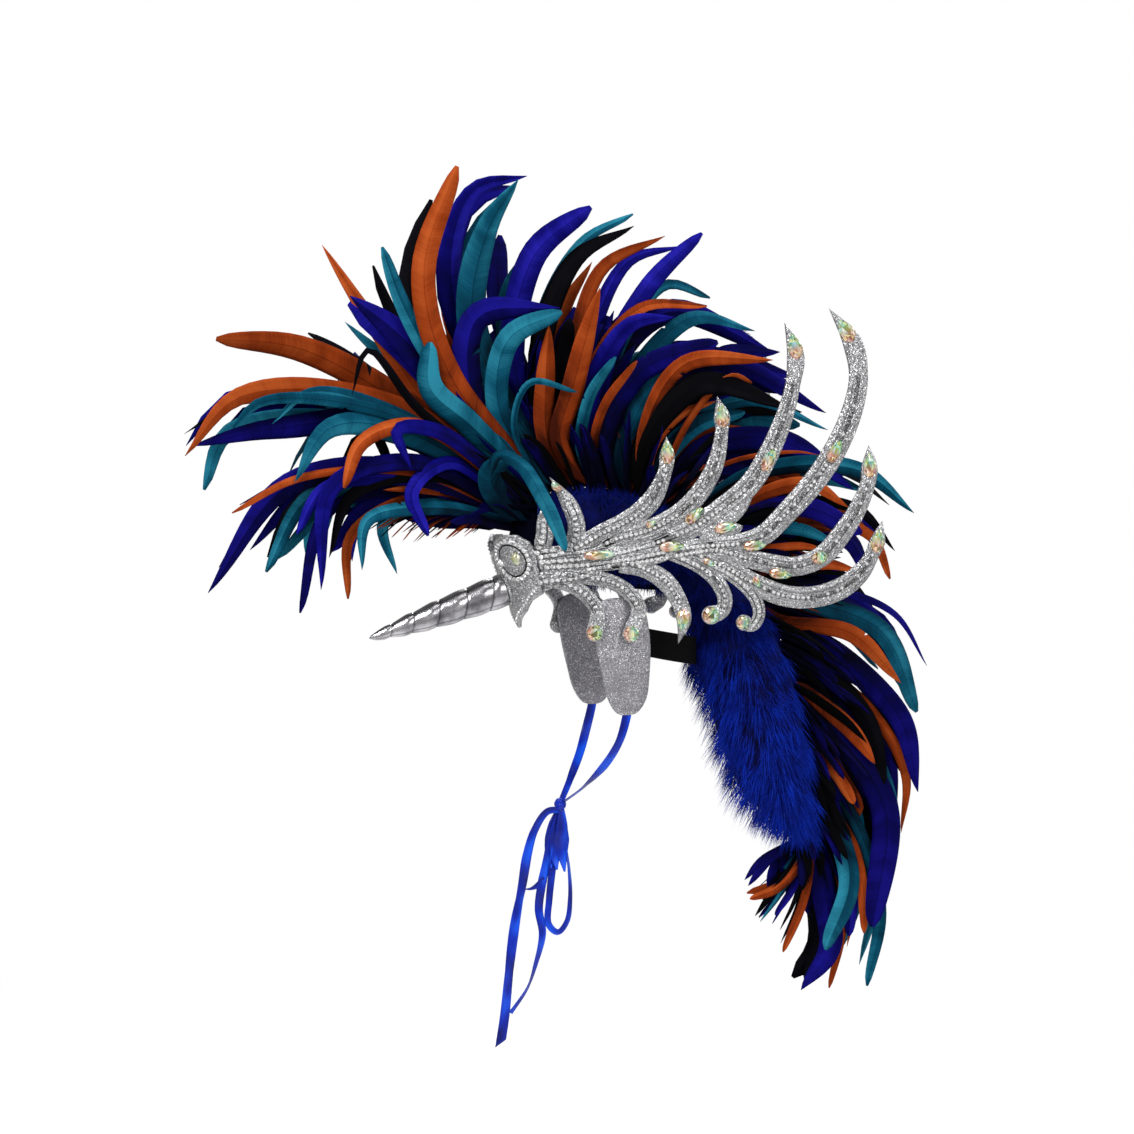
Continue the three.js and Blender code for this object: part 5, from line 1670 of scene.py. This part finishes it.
FOLDED = [
    # tone and width, then the picture's places and how far each is to the wearer's left
    (-0.2, 30, [(529, 522, 6), (503, 502, 20), (491, 474, 36), (512, 454, 58)]),
    (0.16, 15, [(490, 478, 40), (499, 456, 56), (523, 467, 74), (545, 503, 88), (566, 551, 93)]),
]
LANE_PITCH = 4
FAN_START = 0.14
FAN_RATE = 0.0042
PLUMES = {"brow": (0, 26), "front": (27, 62), "top": (63, 116), "crown": (117, 196), "back": (197, 352),
          "nape": (353, 614)}


def fan_out(y, z):
    return FAN_START + FAN_RATE * nearest_on_crest(y, z)[0]


def in_the_room(px, py, lane):
    """A pixel of the picture as x, y and z in millimetres, on a feather of the given lane."""
    y, z = seen_at(px, py, 0)
    for _ in range(6):
        x = lane * LANE_PITCH * fan_out(y, z)
        y, z = seen_at(px, py, x)
    return np.array([x, y, z])


def hero_path(lane, root, *others):
    """The feather's four stops in the room, with its root set on the crest line."""
    _, y, z = in_the_room(*root, 0)
    station = nearest_on_crest(y, z)[1]
    foot = on_crest(station, 2.6)
    return np.array([(lane * LANE_PITCH * FAN_START, *foot), *[in_the_room(*stop, lane) for stop in others]])


# %% [markdown]
# ## The vane
# The vane starts as a flat grid. Real barbs zip together, and here and there they part, so some cross
# edges are split and the slit is pulled open. Then the grid is laid along the feather's path: barbs
# slant toward the tip, the two halves fold up from the shaft like a shallow roof, and the whole twists.

# %% Vane templates
BARB_SLANT = 1.6
VANE_FULL = 1.1
VANE_COLUMNS = np.array([-1, -0.68, -0.34, -0.06, 0, 0.06, 0.34, 0.68, 1])
VANE_SWELLS = {
    # share of the length, share of the width
    "pointed": [(0, 0.1), (0.08, 0.55), (0.25, 0.84), (0.5, 1.0), (0.7, 0.92), (0.85, 0.64), (0.95, 0.3),
                (1, 0.02)],
    "round": [(0, 0.1), (0.08, 0.55), (0.25, 0.84), (0.55, 0.98), (0.76, 0.96), (0.9, 0.76), (0.97, 0.5),
              (1, 0.16)],
}
VANE_SWELLS = {tip: smooth_path(points, 80) for tip, points in VANE_SWELLS.items()}


def vane_template(rows, slits, seed):
    """Shares along and across for each corner of a vane with some slits in it, and its faces."""
    luck = random.Random(seed)
    bm = bmesh.new()
    bmesh.ops.create_grid(bm, x_segments=rows, y_segments=len(VANE_COLUMNS) - 1, size=0.5)
    for vert in bm.verts:
        column = round((vert.co.y + 0.5) * (len(VANE_COLUMNS) - 1))
        vert.co = (vert.co.x + 0.5, VANE_COLUMNS[column], 0)
    for _ in range(slits):
        row = luck.randint(rows // 3, int(rows * 0.82)) / rows
        sign = luck.choice((-1, 1))
        inner = luck.choice((0.2, 0.5))
        cross = [edge for edge in bm.edges
                 if all(abs(v.co.x - row) < 1e-4 and v.co.y * sign > inner for v in edge.verts)]
        if not cross:
            continue
        bmesh.ops.split_edges(bm, edges=cross)
        opening = luck.uniform(0.08, 0.3) / rows
        for vert in bm.verts:
            if abs(vert.co.x - row) < 1e-4 and vert.co.y * sign > inner + 0.05 and vert.link_faces:
                ahead = vert.link_faces[0].calc_center_median().x > row
                vert.co.x += (opening if ahead else -opening) * abs(vert.co.y) ** 1.5
    places, faces = template_of(bm)
    return places[:, 0], places[:, 1], faces


FINE_VANES = [vane_template(30, slits, seed) for seed, slits in enumerate((0, 1, 0, 2, 0, 1))]
PLAIN_VANES = [vane_template(12, slits, seed + 20) for seed, slits in enumerate((0, 1, 0))]


def feather(stops, width, colour, luck, vane, roll, tone=None):
    """One feather along its stops, as a part for a joined mesh."""
    along, across, faces = vane
    path = smooth_path(stops, 60)
    shares = np.linspace(0, 1, len(path))
    length = np.linalg.norm(np.diff(path, axis=0), axis=1).sum()
    ahead = unit(np.gradient(path, axis=0))
    level = unit(np.cross((1.0, 0, 0), ahead))
    toward = unit(np.cross(ahead, level))
    fold = luck.uniform(0.05, 0.22)
    twist = luck.uniform(-0.45, 0.45)
    slant = BARB_SLANT * width / 2 / length
    swell = VANE_SWELLS[luck.choice(("pointed", "round"))]
    reach = along + slant * np.abs(across) * (1 - along)
    half = np.interp(reach, swell[:, 0], swell[:, 1]) * width * VANE_FULL / 2
    wave = 1 + 0.07 * np.sin(reach * luck.uniform(7, 13) + luck.uniform(0, 6)) * np.sign(across)
    turn = roll + twist * (reach - 0.4)
    aside = across * half * wave
    lift = np.abs(across) * half * fold
    pick = [np.interp(reach, shares, column) for column in (*path.T, *level.T, *toward.T)]
    centre, level_way, toward_way = (np.column_stack(pick[k:k + 3]) for k in (0, 3, 6))
    flat_way = level_way * np.cos(turn)[:, None] + toward_way * np.sin(turn)[:, None]
    face_way = toward_way * np.cos(turn)[:, None] - level_way * np.sin(turn)[:, None]
    places = centre + flat_way * aside[:, None] - face_way * lift[:, None]
    shade = luck.uniform(-0.1, 0.12) if tone is None else tone
    # Painted light and shade: one vane half darker as if turned from the light, and soft light and dark bands as
    # on a curved vane.
    shaded_half = luck.choice((-1, 1)) * luck.choice((0, 0.05, 0.14))
    painted_light_bands = 0.13 * np.cos(across * luck.uniform(2, 4) + luck.uniform(0, 6))
    painted_light_bands = painted_light_bands * np.sin(along * luck.uniform(3, 7) + 1)
    tones = shade + painted_light_bands + np.sign(across) * shaded_half - 0.24 * (np.abs(across) < 0.02)
    barb = np.column_stack([(along * length + luck.uniform(0, 900)) * MM, aside * MM, along])
    return places, faces, list(DYES).index(colour), {"barb": barb, "tone": tones}


# %% [markdown]
# ## Fill the crest
# Behind the large feathers stand mirrored copies of the near ones, a little shorter, so that the far
# side is as full as the near side and the outline doesn't change. Short dark feathers cover the roots,
# and they and the feathers in between are darkened further as painted shade.

# %% All feathers of each stretch
HALF_SEAM = 0.5
FAR_APART = 170


def backing(bm_rows, start, end):
    """The strip that carries the roots of a stretch, on top of the fin."""
    bm = new_bmesh()
    section = np.array([(-8, 0.1), (-8, 3.4), (-7, 4.1), (7, 4.1), (8, 3.4), (8, 0.1), (-8, 0.1)])

    def place(along, across):
        x, out = section[np.rint(across * (len(section) - 1)).astype(int)].T
        y, z = on_crest(start + (end - start) * along, out)
        return np.column_stack([x, y, z])

    closed_strip(bm, bm_rows, len(section) - 1, place)
    bmesh.ops.recalc_face_normals(bm, faces=bm.faces)
    places, faces = template_of(bm)
    values = {"barb": places * MM, "tone": np.full(len(places), -0.3)}
    return places, faces, list(DYES).index("black"), values


def between_feathers(name, luck):
    """Broad dark feathers between neighbouring large ones, behind them and shorter, darkened further as painted
    shade.
    """
    rows = [(lane, width, colour, hero_path(lane, *stops)) for colour, lane, width, *stops in HEROES[name]]
    middle = np.array([20.0, 100.0])
    rows.sort(key=lambda row: math.atan2(*(row[3][-1][1:] - middle)))
    parts = []
    for (lane_a, width_a, dye_a, path_a), (lane_b, width_b, dye_b, path_b) in zip(rows, rows[1:]):
        if np.linalg.norm(path_a[-1][1:] - path_b[-1][1:]) > FAR_APART:
            continue
        short = luck.uniform(0.45, 0.6), luck.uniform(-2, 2)
        longer = luck.uniform(0.6, 0.8), luck.uniform(-4, 0)
        for share, lane in (short, longer):
            path = (path_a + path_b) / 2
            path = smooth_path(path, 20)[: max(8, int(20 * share))]
            path = path[np.linspace(0, len(path) - 1, 4).astype(int)]
            gaps = np.array([fan_out(*stop[1:]) for stop in path])
            path[:, 0] = lane * LANE_PITCH * gaps
            path[-1, 2] -= luck.uniform(0, 10)
            dye = luck.choice(("navy", "navy", "black", dye_a, dye_b))
            # tone -0.22 is painted shade among the crowded feathers
            parts.append(feather(path, luck.uniform(20, 28), dye, luck, luck.choice(PLAIN_VANES),
                                 luck.uniform(-1.1, 1.1), tone=-0.22))
    return parts


def stretch_feathers(name):
    luck = random.Random(name)
    start, end = PLUMES[name]
    parts = [backing(max(2, (end - start) // 12), start - HALF_SEAM, end + HALF_SEAM)]
    for colour, lane, width, *stops in HEROES[name]:
        path = hero_path(lane, *stops)
        parts.append(feather(path, width, colour, luck, luck.choice(FINE_VANES), luck.uniform(-0.45, 0.45)))
        if lane >= 3:
            shorter = path.copy()
            shorter[:, 0] *= -1
            shorter[1:] += [luck.uniform(-6, 6) for _ in range(3)]
            shorter[-1] = path[-1] * (-1, 1, 1) * 0.2 + 0.8 * shorter[-2] + (shorter[-1] - shorter[-2]) * 0.62
            dye = luck.choice(("navy", "navy", "blue", "teal", "black", colour))
            parts.append(feather(shorter, width * 0.95, dye, luck, luck.choice(PLAIN_VANES),
                                 luck.uniform(-1.1, 1.1)))
    parts += between_feathers(name, luck)
    headings = hero_headings(name)
    count = max(3, int((end - start) / SHORT_PITCH))
    for i in range(count):
        station = start + (end - start) * (i + 0.5) / count
        heading = np.interp(station, headings[:, 0], headings[:, 1])
        for lane in SHORT_LANES:
            foot = on_crest(station + luck.uniform(-3, 3), 2.6 - max(0, abs(lane) - 2) * 9)
            aim = heading + luck.uniform(-0.16, 0.16)
            lead = np.array([math.cos(aim), math.sin(aim)])
            reach = luck.uniform(50, 105) * length_at(station)
            stops = [np.array([lane * 2.2, *foot])]
            for share, lift in ((0.35, 0), (0.7, -2), (1.0, -12)):
                y, z = foot + lead * reach * share + (0, lift)
                stops.append(np.array([lane * 2.2 + lane * 6 * share, y, z]))
            dye = luck.choice(("navy", "navy", "black"))
            # tone -0.3 is painted shade at the roots
            parts.append(feather(np.array(stops), luck.uniform(5, 11), dye, luck, PLAIN_VANES[0],
                                 luck.uniform(-0.8, 0.8), tone=-0.3))
    if name == "brow":
        parts += folded_feather() + fringe()
    return parts


def folded_feather():
    """The feather that is bent over the front of the left wing: its wide part and the part bent down."""
    luck = random.Random("folded")
    parts = []
    for tone, width, places in FOLDED:
        stops = np.array([(x, *seen_at(px, py, x)) for px, py, x in places])
        parts.append(feather(stops, width, "teal", luck, FINE_VANES[0], 0.35, tone))
    return parts


def fringe():
    """Thin frayed barbs under the lowest feather of the brow."""
    luck = random.Random("fringe")
    parts = []
    for k in range(26):
        start = np.array([505 - 4.0 * k, 514 + 3 * math.sin(k / 7)])
        end = start + (-26 - luck.uniform(0, 12), 12 + luck.uniform(0, 14))
        lane = luck.uniform(1, 5)
        picture = [start, start * 0.6 + end * 0.4 + (0, -3), end]
        stops = np.array([in_the_room(px, py, lane) for px, py in picture])
        parts.append(feather(stops, 1.5, luck.choice(("orange", "black")), luck, PLAIN_VANES[0], 0, -0.1))
    return parts


SHORT_LANES = (-3.2, -1.2, 0.2, 1.4, 3.2)
SHORT_PITCH = 10


def hero_headings(name):
    """Where the large feathers of a stretch set off: length along the crest and angle of each."""
    found = []
    for _, lane, _, *stops in HEROES[name]:
        path = hero_path(lane, *stops)
        way = smooth_path(path, 20)[5, 1:] - path[0, 1:]
        found.append((nearest_on_crest(*path[0, 1:])[1], math.atan2(way[1], way[0])))
    found = np.array(sorted(found))
    found[:, 1] = np.unwrap(found[:, 1])
    return found


def length_at(station):
    return np.interp(station, [0, 40, 100, 300, 500, 600, 614], [0.9, 1.3, 1.3, 1.2, 1.1, 0.7, 0.5])


dyes_in_order = [feather_finishes[name] for name in DYES]
for plume in PLUMES:
    mesh = joined_mesh(f"feathers_{plume}", stretch_feathers(plume), True)
    vanes = show(f"feathers_{plume}", mesh, dyes_in_order, [f"plume_{plume}"])
    thick = vanes.modifiers.new("thickness", "SOLIDIFY")
    thick.thickness = 0.3 * MM
    thick.offset = 0

# %% [markdown]
# ## Satin ties
# One 10 mm ribbon on each side runs from the flap to the knot under the chin, and below it hang a
# pleated loop and two tails. A ribbon is a thin closed strip; turning it a little as it falls gives satin
# light and dark stretches, and its material adds more of them as painted highlight and shade.

# %% Ribbons
RIBBON_WIDTH = 10
RIBBON_THICKNESS = 0.6
CHIN_RIBBON = [
    # x, y and z from the foot of the left ear flap to the knot
    (69.2, 5.2, -72), (69.0, 4.2, -79), (67, -3, -105), (54, -14, -130), (30, -32, -157), (5.8, -47.9, -176.3),
]
KNOT = (0, -51, -180)
KNOT_RADIUS = 8
BOW = {
    # x, widths along it, turns in radians along it, and y and z of its points
    "bow_pleat_front": (2.4, (6, 13, 17, 11, 2), (0.0, 0.2, -0.25, 0.1),
                        [(-50, -185), (-50, -206), (-49, -232), (-47, -254)]),
    "bow_pleat_middle": (0, (6, 15, 19, 12, 2), (0.2, -0.3, 0.2),
                         [(-51, -185), (-54, -208), (-56, -236), (-55, -252)]),
    "bow_pleat_back": (-2.4, (5, 12, 15, 11, 2), (-0.2, 0.3, 0.0),
                       [(-52, -185), (-59, -205), (-62, -230), (-61, -250)]),
    "bow_loop": (-1, (5, 8, 8, 8, 7, 8, 10, 8, 5), (0.9, 1.1, 0.9, 0.6, 0.2, -0.2, -0.4, -0.1, 0.1),
                 [(-49, -187), (-45, -222), (-41, -252), (-39, -284), (-43, -310), (-54, -321), (-64, -312),
                  (-63, -285), (-58, -240), (-52, -188)]),
    "bow_long_tail": (2, (7, 10, 11, 11, 11, 11, 11, 11), (0.1, 0.35, 0.0, 0.45, -0.2, 0.35, 0.1, 0.0),
                      [(-50, -186), (-66, -187), (-80, -207), (-89, -233), (-94, -268), (-103, -308), (-110, -361),
                       (-114, -408), (-119, -440)]),
    "bow_short_tail": (-3, (6, 9, 10, 9, 8, 7, 6), (0.1, 0.3, -0.1, -0.3, 0.4, 0.9, 0.4),
                       [(-53, -188), (-61, -215), (-66, -245), (-72, -270), (-74, -296), (-71, -322), (-78, -357),
                        (-88, -381), (-106, -409)]),
    "bow_fold": (-1.5, (9, 8, 4, 1), (0.3, 0.1, 0.3), [(-68, -262), (-75, -268), (-84, -272), (-91, -272)]),
}
RIPPLE = 2.2
RIPPLE_LENGTH = 62


def ribbon_mesh(name, path, widths, facing, turns, mirror=False, slant=0.0):
    """A thin closed strip; turns say how far it is turned about its own line at even steps."""
    bm = new_bmesh()
    rows = max(10, int(np.linalg.norm(np.diff(path, axis=0), axis=1).sum() / 2.5))
    line = smooth_path(path, rows)
    ahead = unit(np.gradient(line, axis=0))
    face = unit(facing(line))
    across_way = unit(np.cross(ahead, face))
    face = unit(np.cross(across_way, ahead))
    turn = np.interp(np.linspace(0, 1, rows + 1), np.linspace(0, 1, len(turns)), turns)[:, None]
    side_way = across_way * np.cos(turn) + face * np.sin(turn)
    out_way = face * np.cos(turn) - across_way * np.sin(turn)
    half = np.interp(np.linspace(0, 1, rows + 1), np.linspace(0, 1, len(widths)), widths) / 2
    thin = RIBBON_THICKNESS / 2
    shares = np.linspace(-1, 1, 7)
    section = np.array([*[(s, 1) for s in shares], *[(s, -1) for s in shares[::-1]], (shares[0], 1)])
    section[[0, 6, 7, 13, 14], 1] *= 0.4

    def place(along, across):
        i = np.rint(along * rows).astype(int)
        s, level = section[np.rint(across * (len(section) - 1)).astype(int)].T
        cup = 0.1 * half[i] * (s ** 2 - 0.4) * np.sin(along * 9 + 1)
        forward = ahead[i] * (slant * s * half[i] * np.clip((along - 0.96) / 0.04, 0, 1))[:, None]
        flat = line[i] + side_way[i] * (s * half[i])[:, None]
        return flat + out_way[i] * (level * thin + cup)[:, None] + forward

    closed_strip(bm, rows, len(section) - 1, place)
    length = np.linalg.norm(np.diff(line, axis=0), axis=1).sum()
    piece = from_bmesh(name, bm, [satin], mirror=mirror)
    barb = piece.data.attributes.new("barb", "FLOAT_VECTOR", "POINT")
    points = np.array([vert.co for vert in piece.data.vertices]) / MM * ((-1, 1, 1) if mirror else (1, 1, 1))
    nearest = np.array([np.argmin(((line - point) ** 2).sum(axis=1)) for point in points])
    aside = ((points - line[nearest]) * side_way[nearest]).sum(axis=1)
    values = np.column_stack([nearest / rows * length * MM, aside * MM, np.zeros(len(points))])
    barb.data.foreach_set("vector", values.astype(np.float32).ravel())
    return piece, length


ribbons = {}
for side in ("left", "right"):
    ribbons[f"{side}_chin_ribbon"] = (*ribbon_mesh(
        f"{side}_chin_satin", np.array(CHIN_RIBBON), (RIBBON_WIDTH, RIBBON_WIDTH, 9, 7),
        lambda line: np.column_stack([line[:, 0], 0 * line[:, 0], line[:, 2] + 90]), (0, 0.25, -0.2, 0.3, 0.0),
        mirror=side == "right",
    ), RIBBON_WIDTH)
for name, (x, widths, turns, points) in BOW.items():
    path = np.array([(x, y, z) for y, z in points], float)
    fallen = np.concatenate([[0], np.cumsum(np.linalg.norm(np.diff(path, axis=0), axis=1))])
    path[:, 0] += RIPPLE * np.sin(fallen / RIPPLE_LENGTH * 2 * math.pi) * (fallen > 20)
    slant = 0.9 if name == "bow_long_tail" else 0.0
    ribbons[name] = (*ribbon_mesh(name, path, widths, lambda line: np.tile((1.0, 0, 0), (len(line), 1)), turns,
                                  slant=slant), sum(widths) / len(widths))


def knot():
    bm = new_bmesh()
    bmesh.ops.create_uvsphere(bm, u_segments=40, v_segments=24, radius=KNOT_RADIUS)
    for vert in bm.verts:
        x, y, z = vert.co
        turn = math.atan2(z, y)
        wraps = 1 + 0.07 * math.sin(3 * turn + x * 0.5) + 0.05 * math.sin(x * 1.9 + 2 * math.sin(turn))
        vert.co = (x * 0.85 * wraps + KNOT[0], y * 0.75 * wraps + KNOT[1], z * 0.92 * wraps + KNOT[2])
    return bm


from_bmesh("satin_knot", knot(), [satin], ["bow_knot"])
for name, (piece, length, width) in ribbons.items():
    if name.endswith("chin_ribbon"):
        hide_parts(name)
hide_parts("bow_ribbons")
